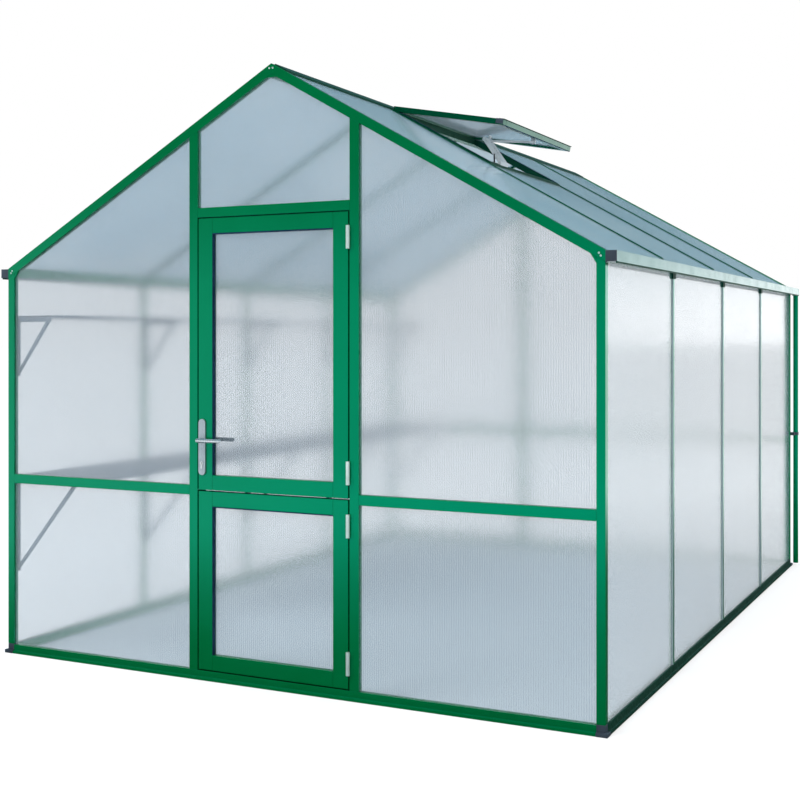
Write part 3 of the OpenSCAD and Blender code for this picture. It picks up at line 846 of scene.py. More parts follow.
@dataclass
class Gaskets:
    """Dark navy strips down one edge and along the head of the door's sheets, on both faces: painted shade in
    the reveals.
    """

    paints: Paints
    bite: float = 9 * MM
    width: float = 1.5 * MM
    head_width: float = 4.5 * MM
    set_back: float = 1.0 * MM

    def build(self) -> None:
        """Builds the painted-shade strips of both leaves."""
        self.dress("upper_leaf", Body.UPPER)
        self.dress("lower_leaf", Body.LOWER)

    def dress(self, leaf: str, body: Body) -> None:
        """Builds the painted-shade strips of one leaf's sheet, as deep as its reveals.

        Args:
            leaf: The start of the leaf's node names.
            body: The body they ride on.
        """
        low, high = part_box(leaf + "_stiles")
        shape = Shape()
        for sheet in read_panes(leaf + "_pane"):
            outer_face = low.y if sheet.normal.y < 0 else high.y
            outside = abs(sheet.spot(0, 0, 0).y - outer_face)
            inside = high.y - low.y - outside - sheet.thickness
            opening = [Vector(corner) for corner in sheet.inset(self.bite)]
            for way, depth, base in ((1, outside, 0.0), (-1, inside, -sheet.thickness)):
                reach = depth - self.set_back
                if reach < MM:
                    continue
                for a, b in zip(opening, opening[1:] + opening[:1]):
                    run = b - a
                    if -run.y > abs(run.x):
                        step_in = Vector((self.width, 0))
                    elif -run.x > abs(run.y):
                        step_in = Vector((0, -self.head_width))
                    else:
                        continue
                    quad = [a, b, b + step_in, a + step_in]
                    shape.prism([sheet.spot(u, v, base) for u, v in quad], sheet.normal * (way * reach))
        shape.piece(leaf + "_pane_reveal_shade", self.paints.seal, Slot.DARK, body)


@dataclass
class DarkMouldings:
    """The plastic feet under the corners and the caps on the gutters' ends."""

    paints: Paints
    rounding: float = 2.0 * MM
    tail: float = 5.0 * MM

    def build(self) -> None:
        """Builds the plastic pieces."""
        feet = Shape().node("base_corner_feet").soften(self.rounding, 3)
        feet.piece("base_corner_feet_moulded", self.paints.slate, Slot.DARK, Body.FRAME, ["base_corner_feet"])
        low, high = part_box("gutter_end_caps")
        caps = Shape()
        for points in solid_points("gutter_end_caps"):
            side = 1 if points[0].x > 0 else -1
            near, far = min(abs(p.x) for p in points), max(abs(p.x) for p in points)
            y0, y1 = min(p.y for p in points), max(p.y for p in points)
            hook = (near, near + self.tail, low.z - self.tail, low.z + MM)
            for a, b, c, d in ((near, far, low.z, high.z), hook):
                ends = sorted((side * a, side * b))
                caps.block((ends[0], y0, c), (ends[1], y1, d))
        caps.soften(1.2 * MM, 3)
        caps.piece("gutter_end_caps_moulded", self.paints.slate, Slot.DARK, Body.FRAME, ["gutter_end_caps"])


@dataclass
class RainWater:
    """The drawn downpipes and their clips."""

    paints: Paints
    wall: float = 1.5 * MM
    clip_wall: float = 2.5 * MM

    def build(self) -> None:
        """Builds both pipes and both clips."""
        low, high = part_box("downpipe_sides")
        clip_low, clip_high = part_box("pipe_clip_sides")
        face_low, face_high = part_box("downpipe_faces")
        radius = (face_high.y - face_low.y) / 2
        centre_y = (face_high.y + face_low.y) / 2
        pipes, clips = Shape(), Shape()
        for side in (-1, 1):
            spot = Vector((side * (high.x - radius), centre_y, 0))
            inner = radius - self.wall
            lip = 0.4 * MM
            pipes.ring(spot, Vector((0, 0, 1)), [
                (inner, low.z), (radius - lip, low.z), (radius, low.z + lip), (radius, high.z),
                (inner, high.z),
            ], 40)
            outer = radius + self.clip_wall
            clips.ring(spot, Vector((0, 0, 1)), [
                (radius, clip_low.z), (outer - lip, clip_low.z), (outer, clip_low.z + lip),
                (outer, clip_high.z - lip), (outer - lip, clip_high.z), (radius, clip_high.z),
            ], 40)
        arms = Shape().node("pipe_clips")
        for group in arms.islands():
            lowest = min(v.co.y for f in group for v in f.verts)
            if lowest > centre_y - radius - 4 * MM:
                bmesh.ops.delete(arms.mesh, geom=group, context="FACES")
        pipe_nodes = ["downpipe_sides", "downpipe_faces"]
        pipes.piece("downpipes_drawn", self.paints.green, Slot.GREEN, Body.FRAME, pipe_nodes)
        clips.piece("pipe_clip_rings", self.paints.slate, Slot.DARK, Body.FRAME, ["pipe_clip_sides"])
        arms.soften(0.8 * MM)
        arms.piece("pipe_clip_arms", self.paints.slate, Slot.DARK, Body.FRAME, ["pipe_clips"])


@dataclass
class DoorHinges:
    """Pale hinge barrels on thin coated leaves with screws."""

    paints: Paints
    leaf_sheet: float = 1.2 * MM
    ease: float = 0.7 * MM
    pin_radius: float = 3.6 * MM
    bore_radius: float = 4.1 * MM
    play: float = 0.5 * MM
    screw_radius: float = 3.2 * MM

    def build(self) -> None:
        """Builds the turning barrels of both leaves, and the fixed ones with their pins."""
        low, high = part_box("upper_leaf_barrels")
        self.radius = (high.y - low.y) / 2
        self.axis = Vector((high.x - self.radius, (low.y + high.y) / 2, 0))
        self.face = high.y
        self.reach = self.axis.x - low.x
        spans = []
        for node, body in (("upper_leaf_barrels", Body.UPPER), ("lower_leaf_barrels", Body.LOWER)):
            turning = self.spans(node)
            spans += turning
            barrels, leaves = Shape(), Shape()
            for a, b in turning:
                self.barrel(barrels, a, b)
                self.leaf(leaves, a, b, -1)
            barrels.piece(node + "_turned", self.paints.barrel, Slot.HINGE, body, [node])
            leaves.soften(0.4 * MM).piece(node + "_leaves", self.paints.green, Slot.HINGE, body, [node])
        pins, leaves = Shape(), Shape()
        for a, d in self.spans("door_hinge_pins"):
            b, c = next(span for span in spans if a < span[0] and span[1] < d)
            self.pin(pins, a, b - self.play, c + self.play, d)
            self.leaf(leaves, a, b - self.play, 1)
            self.leaf(leaves, c + self.play, d, 1)
        pins.piece("hinge_pins_turned", self.paints.barrel, Slot.HINGE, Body.FRAME, ["door_hinge_pins"])
        leaves.soften(0.4 * MM)
        leaves.piece("hinge_frame_leaves", self.paints.green, Slot.HINGE, Body.FRAME, ["door_hinge_pins"])

    def spans(self, node: str) -> list[tuple[float, float]]:
        """Returns the lowest and highest level of each of a node's solids."""
        return sorted((min(p.z for p in solid), max(p.z for p in solid)) for solid in solid_points(node))

    def shoulder(self, a: float, b: float) -> Outline:
        """Returns a barrel's outside from a to b, with eased ends."""
        r, e = self.radius, self.ease
        return [
            (r - e, a), (r - 0.3 * e, a + 0.3 * e), (r, a + e),
            (r, b - e), (r - 0.3 * e, b - 0.3 * e), (r - e, b),
        ]

    def barrel(self, shape: Shape, a: float, b: float) -> None:
        """Adds a bored barrel from level a to level b."""
        outline = [(self.bore_radius, a), *self.shoulder(a, b), (self.bore_radius, b)]
        shape.ring(self.axis, Vector((0, 0, 1)), outline, 28)

    def pin(self, shape: Shape, a: float, b: float, c: float, d: float) -> None:
        """Adds two fixed barrels, a to b and c to d, on one pin."""
        bare = [(self.pin_radius, b), (self.pin_radius, c)]
        outline = [(0, a), *self.shoulder(a, b), *bare, *self.shoulder(c, d), (0, d)]
        shape.ring(self.axis, Vector((0, 0, 1)), outline, 28)

    def leaf(self, shape: Shape, a: float, b: float, side: int) -> None:
        """Adds one thin hinge leaf with a screw.

        Args:
            shape: The shape to add to.
            a: Its lowest level.
            b: Its highest level.
            side: 1 towards the post, -1 towards the door's middle.
        """
        ends = sorted((self.axis.x + side * self.play, self.axis.x + side * self.reach))
        shape.block((ends[0], self.face - self.leaf_sheet, a), (ends[1], self.face, b))
        spot = Vector((self.axis.x + side * self.reach * 0.68, self.face - self.leaf_sheet, (a + b) / 2))
        shape.bolt(spot, Vector((0, -1, 0)), self.screw_radius, 0.9 * MM)


@dataclass
class HandleSet:
    """Long plates with round ends, a lock cylinder, and a lever on each side of the door."""

    paints: Paints
    arc_facets: int = 14
    crown: float = 2.2 * MM
    collar_radius: float = 12.5 * MM
    neck_bore: float = 9.3 * MM
    key_radius: float = 8.5 * MM
    key_tail: float = 5.0 * MM
    key_length: float = 33 * MM
    lever_high: float = 10 * MM
    lever_deep: float = 7.5 * MM
    lock_drop: float = 105 * MM
    lock_bury: float = 1.0 * MM
    lock_proud: float = 2.6 * MM

    def build(self) -> None:
        """Builds the plates, the cylinder and both levers."""
        low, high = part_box("handle_plates")
        leaf_low, leaf_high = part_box("upper_leaf_stiles")
        grip_low, grip_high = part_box("door_lever")
        self.middle = (low.x + high.x) / 2
        self.axis_z = (grip_low.z + grip_high.z) / 2
        proud = leaf_low.y - low.y - 3 * MM
        plates, locks, slots = Shape(), Shape(), Shape()
        for face, facing in ((leaf_low.y, -1), (leaf_high.y, 1)):
            outline = self.stadium((high.x - low.x) / 2, low.z, high.z)
            run = Vector((0, facing * proud, 0))
            plates.prism([Vector((x, face, z)) for x, z in outline], run)
            self.cylinder(locks, slots, face + facing * proud, facing)
        plates.soften(self.crown, 4)
        for face, facing in ((leaf_low.y, -1), (leaf_high.y, 1)):
            spot = Vector((self.middle, face + facing * (proud - 0.2 * MM), self.axis_z))
            rim = [
                (self.neck_bore, 0), (self.collar_radius, 0), (self.collar_radius, MM), (11.4 * MM, 2 * MM),
                (self.neck_bore, 2 * MM),
            ]
            plates.ring(spot, Vector((0, facing, 0)), rim, 32)
        plates.piece("handle_plates_pressed", self.paints.plate, Slot.HANDLE, Body.UPPER, ["handle_plates"])
        locks.soften(0.4 * MM)
        locks.piece("lock_cylinders", self.paints.steel, Slot.HANDLE, Body.UPPER, ["handle_plates"])
        slots.piece("key_slots", self.paints.hole_shade, Slot.HANDLE, Body.UPPER)
        for name, end, face, facing, paint in (
            ("lever_outer", grip_low.y, leaf_low.y, -1, self.paints.grip),
            # The inner lever is the same fitting as the outer one, made near-black: painted shade.
            ("lever_inner", grip_high.y, leaf_high.y, 1, self.paints.shadow_metal),
        ):
            self.lever(name, end, face, facing, grip_high.x, paint)

    def stadium(self, radius: float, low: float, high: float) -> Outline:
        """Returns a long outline with round ends, as X and Z pairs."""
        top = self.arc(high - radius, radius, 0.0, math.pi, self.arc_facets)
        return top + self.arc(low + radius, radius, math.pi, math.pi, self.arc_facets)

    def arc(self, centre: float, radius: float, start: float, sweep: float, facets: int) -> Outline:
        """Returns an arc round a level on the plate's centreline.

        Args:
            centre: The level.
            radius: The arc's radius.
            start: The angle at its start.
            sweep: The angle it turns through.
            facets: Its number of facets.

        Returns:
            Its points, as X and Z pairs.
        """
        angles = [start + sweep * k / facets for k in range(facets + 1)]
        return [(self.middle + radius * math.cos(t), centre + radius * math.sin(t)) for t in angles]

    def cylinder(self, locks: Shape, slots: Shape, face: float, facing: int) -> None:
        """Adds a lock cylinder and its key slot.

        Args:
            locks: The shape for the cylinder.
            slots: The shape for the dark slot.
            face: Where the plate's face is.
            facing: 1 or -1 along Y.
        """
        centre = self.axis_z - self.lock_drop
        points = self.arc(centre, self.key_radius, math.radians(-55), math.radians(290), 18)
        foot = centre + self.key_radius - self.key_length + self.key_tail
        points += self.arc(foot, self.key_tail, math.pi, math.pi, 8)
        back, front = face - facing * self.lock_bury, face + facing * self.lock_proud
        locks.prism([Vector((x, back, z)) for x, z in points], Vector((0, front - back, 0)))
        # The key slot is a thin near-black block on the cylinder's face, not a recess: painted shade of the
        # keyway.
        ends = sorted((front - facing * 0.3 * MM, front + facing * 0.25 * MM))
        half, tall = 0.7 * MM, 4.5 * MM
        slots.block(
            (self.middle - half, ends[0], centre - tall), (self.middle + half, ends[1], centre + tall),
        )

    def lever(
        self, name: str, end: float, face: float, facing: int, tip: float, paint: bpy.types.Material,
    ) -> None:
        """Builds one lever: a turned neck that runs into a tapering grip.

        Args:
            name: The piece's name.
            end: The grip's outer face.
            face: The door's face on that side.
            facing: 1 or -1 along Y.
            tip: The grip's far end along X.
            paint: Its material.
        """
        shape = Shape()
        middle_y = end - facing * self.lever_deep
        spot = Vector((self.middle, face, self.axis_z))
        length = abs(middle_y - face)
        neck = [
            (0, MM), (8.8 * MM, MM), (8.8 * MM, 9 * MM), (7.4 * MM, 12 * MM), (7.0 * MM, length * 0.7),
            (8.4 * MM, length), (0, length),
        ]
        shape.ring(spot, Vector((0, facing, 0)), neck, 28)
        start = self.middle - 9.6 * MM
        run = tip - 0.4 * MM - start
        sections = []
        for share, high, deep, back in (
            (0.0, 0.35, 0.4, 0.0), (0.012, 0.68, 0.7, 0.0), (0.035, 0.9, 0.92, 0.0), (0.08, 1.0, 1.0, 0.0),
            (0.2, 0.97, 0.94, 0.0), (0.5, 0.9, 0.84, 0.04), (0.8, 0.88, 0.8, 0.1), (0.95, 0.88, 0.8, 0.16),
            (0.985, 0.78, 0.7, 0.18), (0.996, 0.6, 0.54, 0.18), (1.0, 0.4, 0.36, 0.18),
        ):
            centre = Vector((start + share * run, middle_y - facing * back * self.lever_deep, self.axis_z))
            wide, tall = Vector((0, deep * self.lever_deep, 0)), Vector((0, 0, high * self.lever_high))
            sections.append((centre, wide, tall))
        shape.loft(sections, 28, 2.5)
        shape.piece(name, paint, Slot.HANDLE, Body.LEVER, ["door_lever"])


@dataclass
class DoorStops:
    """Thin angles inside the doorway that close the gaps round the leaves, and dark strips on the leaves that
    paint the shade in the gaps.
    """

    paints: Paints
    clear: float = 5.4 * MM
    sheet: float = 1.5 * MM
    over: float = 10 * MM
    seal: float = 0.4 * MM

    def build(self) -> None:
        """Builds the four angles and the dark strips of painted shade in the gaps at the leaves' heads and
        foot.
        """
        header_low, header_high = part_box("door_header")
        upper_low, upper_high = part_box("upper_leaf_stiles")
        lower_low, lower_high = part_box("lower_leaf_stiles")
        base_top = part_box("base_rails_gable")[1].z
        self.seat, self.leaf_face = header_high.y, upper_high.y
        half, reach = header_high.x, header_high.x + self.over
        angles = Shape()
        for side in (-1, 1):
            section = self.angle(half, upper_high.x)
            rise = Vector((0, 0, header_low.z - base_top))
            angles.prism([Vector((side * x, y, base_top)) for x, y in section], rise)
        for sign, edge, leaf in ((1, header_low.z, upper_high.z), (-1, -base_top, -lower_low.z)):
            section = self.angle(edge, leaf)
            angles.prism([Vector((-reach, y, sign * z)) for z, y in section], Vector((2 * reach, 0, 0)))
        angles.soften(0.3 * MM, 1).piece("door_stop_angles", self.paints.green, Slot.GREEN, Body.FRAME)
        # Dark strips on the leaves' heads and foot: painted shade in the gaps.
        for name, level, rise, body in (
            ("upper_leaf_foot_gap_shade", upper_low.z, -self.seal, Body.UPPER),
            ("lower_leaf_head_gap_shade", lower_high.z, self.seal, Body.LOWER),
            ("upper_leaf_head_gap_shade", upper_high.z, self.seal, Body.UPPER),
        ):
            strip = Shape()
            ends = sorted((level - rise, level + rise))
            strip.block(
                (upper_low.x + 3 * MM, upper_low.y + 4 * MM, ends[0]),
                (upper_high.x - 3 * MM, upper_high.y - 3 * MM, ends[1]),
            )
            strip.piece(name, self.paints.seal, Slot.DARK, body)

    def angle(self, frame_edge: float, leaf_edge: float) -> Outline:
        """Returns an angle's section, as distance outwards from the door's middle and place along Y.

        Args:
            frame_edge: The doorway's edge.
            leaf_edge: The leaf's edge.
        """
        foot, lip = frame_edge + self.over, leaf_edge - self.over
        near = self.leaf_face + self.clear
        far = near + self.sheet
        inner = foot - self.sheet
        return [
            (foot, self.seat - 0.3 * MM), (foot, far), (lip, far),
            (lip, near), (inner, near), (inner, self.seat - 0.3 * MM),
        ]


@dataclass
class Fasteners:
    """Bright gable bolts, clips and beads on the side bars, and dark strips under the gutters' edges as
    painted shade.
    """

    paints: Paints
    head: float = 4.4 * MM
    dome: float = 2.6 * MM
    washer: float = 6.0 * MM
    spots: tuple[tuple[float, float], ...] = ((1.494, 1.876), (1.5015, 1.865), (0.0085, 2.733))
    clip_long: float = 52 * MM
    clip_tall: float = 24 * MM
    clip_proud: float = 3.5 * MM
    bead: float = 0.8 * MM
    strip_wide: float = 6 * MM
    strip_deep: float = 6 * MM

    def build(self) -> None:
        """Builds the bolts with their washers, the side bars' clips and beads, and the dark strips under the
        gutters.
        """
        low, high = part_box("corner_posts")
        heads, rims = Shape(), Shape()
        for face, facing in ((low.y, -1), (high.y, 1)):
            for x, z in self.spots:
                for side in (-1, 1):
                    spot = Vector((side * x, face, z))
                    way = Vector((0, facing, 0))
                    rim = [(0, -MM), (self.washer, -MM), (self.washer, 0.5 * MM), (0, 0.9 * MM)]
                    rims.ring(spot, way, rim, 24)
                    heads.bolt(spot + way * 0.6 * MM, way, self.head, self.dome)
        heads.piece("frame_bolts", self.paints.barrel, Slot.GREEN, Body.FRAME)
        rims.piece("frame_washers", self.paints.green, Slot.GREEN, Body.FRAME)
        self.side_trim()
        self.shade_strips_under_gutters()

    def side_trim(self) -> None:
        """Builds a folded clip at the head of each side bar and a pale bead down both of its flanks."""
        top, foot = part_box("eave_beams")[0].z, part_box("base_rails_side")[1].z
        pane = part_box("side_panes")[1].x
        clips, beads = Shape(), Shape()
        for points in solid_points("side_bars"):
            far = max(abs(p.x) for p in points)
            side = 1 if points[0].x > 0 else -1
            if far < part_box("side_bars")[1].x - MM:
                continue
            outer = [p.y for p in points if abs(abs(p.x) - far) < 0.2 * MM]
            low, high = min(outer), max(outer)
            ends = sorted((side * (far - 6 * MM), side * (far + self.clip_proud)))
            half = self.clip_long / 2
            middle = (low + high) / 2
            clip_foot = top - self.clip_tall
            clips.block((ends[0], middle - half, clip_foot), (ends[1], middle + half, top + 2 * MM))
            ends = sorted((side * (pane + 0.2 * MM), side * (far - 0.6 * MM)))
            for a, b in ((low - self.bead, low + 0.2 * MM), (high - 0.2 * MM, high + self.bead)):
                beads.block((ends[0], a, foot + MM), (ends[1], b, clip_foot - MM))
        clips.soften(1.2 * MM).piece("eave_clips", self.paints.trim_and_shade, Slot.GREEN, Body.FRAME)
        beads.piece("side_bar_beads", self.paints.bead, Slot.SHEET, Body.FRAME)

    def shade_strips_under_gutters(self) -> None:
        """Builds a dark strip along the underside of each gutter's outer edge: painted shade under the
        gutter.
        """
        edges = Shape()
        for node in ("gutter_left", "gutter_right"):
            low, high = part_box(node)
            far = high.x if low.x > 0 else low.x
            outer = sorted((far, far - math.copysign(self.strip_wide, far)))
            edges.block(
                (outer[0], low.y + 4 * MM, low.z - self.strip_deep),
                (outer[1], high.y - 4 * MM, low.z + 0.3 * MM),
            )
        edges.soften(0.8 * MM).piece("gutter_shade_strips", self.paints.trim_and_shade, Slot.GREEN, Body.FRAME)


@dataclass
class Shelving:
    """Folded shelf trays with ribs underneath, on light brackets."""

    paints: Paints
    sheet: float = 1.6 * MM
    deep: float = 11 * MM
    lip_in: float = 9 * MM
    ribs: int = 3
    rib_wide: float = 26 * MM

    def build(self) -> None:
        """Builds both shelves and their brackets."""
        for node in ("shelf_upper", "shelf_lower"):
            # The trays take the dark grey-blue metal: painted shade.
            self.tray(node).piece(node + "_folded", self.paints.shaded_shelf_metal, Slot.SHELF, Body.FRAME, [node])
        shape = Shape().node("shelf_brackets").soften(1.2 * MM)
        shape.piece("shelf_brackets_pressed", self.paints.bracket, Slot.SHELF, Body.FRAME, ["shelf_brackets"])

    def tray(self, node: str) -> Shape:
        """Builds one shelf as a folded tray.

        Args:
            node: The CAD node it stands for.

        Returns:
            The tray's shape.
        """
        low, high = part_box(node)
        high.z = low.z + self.deep
        t = self.sheet
        section = [
            (low.x + self.lip_in, low.z), (low.x, low.z), (low.x, high.z), (high.x, high.z), (high.x, low.z),
            (high.x - self.lip_in, low.z), (high.x - self.lip_in, low.z + t), (high.x - t, low.z + t),
            (high.x - t, high.z - t),
        ]
        span = high.x - low.x - 2 * t
        for k in range(self.ribs):
            middle = high.x - t - span * (k + 1) / (self.ribs + 1)
            half = self.rib_wide / 2
            deep = (high.z - low.z) * 0.55
            section += [
                (middle + half, high.z - t), (middle + half * 0.6, high.z - t - deep),
                (middle - half * 0.6, high.z - t - deep), (middle - half, high.z - t),
            ]
        section += [(low.x + t, high.z - t), (low.x + t, low.z + t), (low.x + self.lip_in, low.z + t)]
        shape = Shape()
        shape.prism([Vector((x, low.y, z)) for x, z in section], Vector((0, high.y - low.y, 0)))
        for y in (low.y, high.y - t):
            shape.block((low.x + t, y, low.z + t), (high.x - t, y + t, high.z - t * 0.5))
        return shape.soften(0.4 * MM, 1)


@dataclass
class VentFittings:
    """The cast opener with its knob and rod, the sash's lip, caps and seal, and the kerbs' rubber."""

    paints: Paints
    lip_sheet: float = 2.5 * MM
    lip_proud: float = 5.0 * MM
    lip_over: float = 24 * MM
    cap_sheet: float = 2.5 * MM
    rubber: float = 2.0 * MM
    near_rubber: float = 12 * MM
    eye_radius: float = 10 * MM
    foot_bury: float = 5 * MM
    body_half: float = 8 * MM
    rod_radius: float = 4 * MM

    def build(self) -> None:
        """Builds the fittings of the vent."""
        self.opener()
        self.sash_trim()
        self.kerb_rubber()

    def opener(self) -> None:
        """Builds the cast opener with its holes and its knob."""
        shape = Shape().node("vent_opener")
        points = [v.co.copy() for v in shape.mesh.verts]
        near = min(p.y for p in points)
        tip = min(points, key=lambda p: p.x)
        elbow = Vector((tip.x + self.eye_radius, near, tip.z))
        sole = [p for p in points if abs(p.y - near) < 0.1 * MM]
        foot = Vector((sum(p.x for p in sole) / len(sole), near, max(p.z for p in sole) - self.foot_bury))
        body_far = max(p.y for p in points if (p - elbow).xz.length < 1.1 * self.eye_radius)
        wide = body_far - near
        run = (elbow - foot).normalized()
        out = Vector((run.z, 0, -run.x))
        shape.soften(2.0 * MM, 3)
        knob = elbow + Vector((0, wide - 12 * MM, self.eye_radius - MM))
        shape.ring(knob, Vector((0, 0, 1)), [
            (5 * MM, 0), (5 * MM, 9 * MM), (7 * MM, 11 * MM), (7 * MM, 17 * MM), (5.5 * MM, 19 * MM),
            (0, 19.5 * MM),
        ], 16)
        shape.piece("vent_opener_cast", self.paints.cast, Slot.OPENER, Body.FRAME, ["vent_opener"])
        bores, length = Shape(), (elbow - foot).length
        # Each bore is a thin near-black disc on the casting, not a recess: painted shade.
        rim = [(0, -MM), (3.6 * MM, -MM), (3.6 * MM, 0.3 * MM), (2.6 * MM, 0.4 * MM), (0, 0.2 * MM)]
        for share, across in ((0.97, 0.4), (0.97, 0.72), (0.86, 0.56), (0.6, 0.5), (0.5, 0.5), (0.4, 0.5)):
            spot = foot + run * length * share + out * self.body_half + Vector((0, wide * across, 0))
            bores.ring(spot, out, rim, 14)
        bores.piece("vent_opener_bores", self.paints.hole_shade, Slot.DARK, Body.FRAME)
        rod = Shape()
        top = foot + run * length * 0.36 + Vector((0, 6 * MM, 0))
        low = Vector((top.x, top.y, foot.z - 4 * MM))
        wide, high = Vector((self.rod_radius, 0, 0)), Vector((0, -self.rod_radius, 0))
        rod.loft([(top, wide, high), (low, wide, high)], 14)
        # The rod is near-black: painted shade.
        rod.piece("vent_opener_rod", self.paints.shadow_metal, Slot.DARK, Body.FRAME)

    def sash_trim(self) -> None:
        """Builds the drip lip over the lower sash rail, the caps at its ends and the seal below it."""
        near, far = sorted(solid_points("vent_sash_corners"), key=lambda solid: min(p.y for p in solid))
        ways = self.directions(near)
        caps, ends = Shape(), []
        for points, side in ((near, -1), (far, 1)):
            face = min(p.y for p in points) if side < 0 else max(p.y for p in points)
            s, n = ([p.dot(way) for p in points] for way in ways)
            s0, s1, n0, n1 = min(s), max(s), min(n), max(n)
            block = (s0 + MM, s1 - 0.5 * MM, n0 + 4 * MM, n1 + MM)
            self.strip(caps, ways, block, face - side * 0.5 * MM, side * self.cap_sheet)
            ends.append(face)
        start, run = ends[0], ends[1] - ends[0]
        lip, seal = Shape(), Shape()
        block = (s1 - self.lip_over, s1 + self.lip_proud, n1 - 0.3 * MM, n1 + self.lip_sheet)
        self.strip(lip, ways, block, start - MM, run + 2 * MM)
        block = (s1 - 3 * MM, s1 + 0.6 * MM, n0 - 1.5 * MM, n0 + 2.5 * MM)
        self.strip(seal, ways, block, start + 4 * MM, run - 8 * MM)
        caps.soften(0.8 * MM).piece("vent_sash_caps", self.paints.slate, Slot.DARK, Body.FRAME)
        lip.soften(0.6 * MM).piece("vent_drip_lip", self.paints.trim_and_shade, Slot.GREEN, Body.FRAME)
        seal.piece("vent_sash_seal", self.paints.seal, Slot.DARK, Body.FRAME)

    def strip(
        self, shape: Shape, ways: tuple[Vector, Vector], block: Sequence[float], start: float, run: float,
    ) -> None:
        """Adds a bar along the sash's lower rail.

        Args:
            shape: The shape to add to.
            ways: The ways down the sash and square out of it.
            block: Its first and last place down the sash, then out of it.
            start: Where it starts along Y.
            run: Its length along Y.
        """
        down, out = ways
        a, b, c, d = block
        outline = [down * u + out * v + Vector((0, start, 0)) for u, v in ((a, c), (b, c), (b, d), (a, d))]
        shape.prism(outline, Vector((0, run, 0)))

    def directions(self, points: Sequence[Vector]) -> tuple[Vector, Vector]:
        """Returns the ways down the sash and square out of it, from a corner's points."""
        lowest = min(points, key=lambda p: p.z)
        side = [p for p in points if abs(p.y - lowest.y) < 0.1 * MM]
        high = max(side, key=lambda p: p.z - 0.2 * p.x)
        right = max(side, key=lambda p: p.x + 0.2 * p.z)
        down = (right - high).normalized()
        return down, Vector((-down.z, 0, down.x))

    def kerb_rubber(self) -> None:
        """Builds the rubber strips on the kerbs and along the sill's edge."""
        shape = Shape()
        kerbs = Shape().node("vent_kerbs")
        groups = sorted(kerbs.islands(), key=lambda group: min(v.co.y for f in group for v in f.verts))
        for index, group in enumerate(groups):
            for face in (f for f in group if f.normal.z > 0.6):
                spots = [v.co.copy() for v in face.verts]
                y0, y1 = min(p.y for p in spots), max(p.y for p in spots)
                y1, y0 = (y0 + self.near_rubber, y0) if index == 0 else (y1, y0)
                edge = sorted({(round(p.x, 6), round(p.z, 6)) for p in spots})
                (xa, za), (xb, zb) = edge[0], edge[-1]
                run = Vector((xb - xa, 0, zb - za))
                if run.length < 30 * MM:
                    continue
                lift = face.normal * self.rubber
                a = Vector((xa, y0 + MM, za)) - face.normal * 0.3 * MM
                shape.prism([a, a + run, a + run + lift, a + lift], Vector((0, y1 - y0 - 2 * MM, 0)))
        kerbs.mesh.free()
        shape.piece("vent_kerb_rubber", self.paints.seal, Slot.DARK, Body.FRAME)


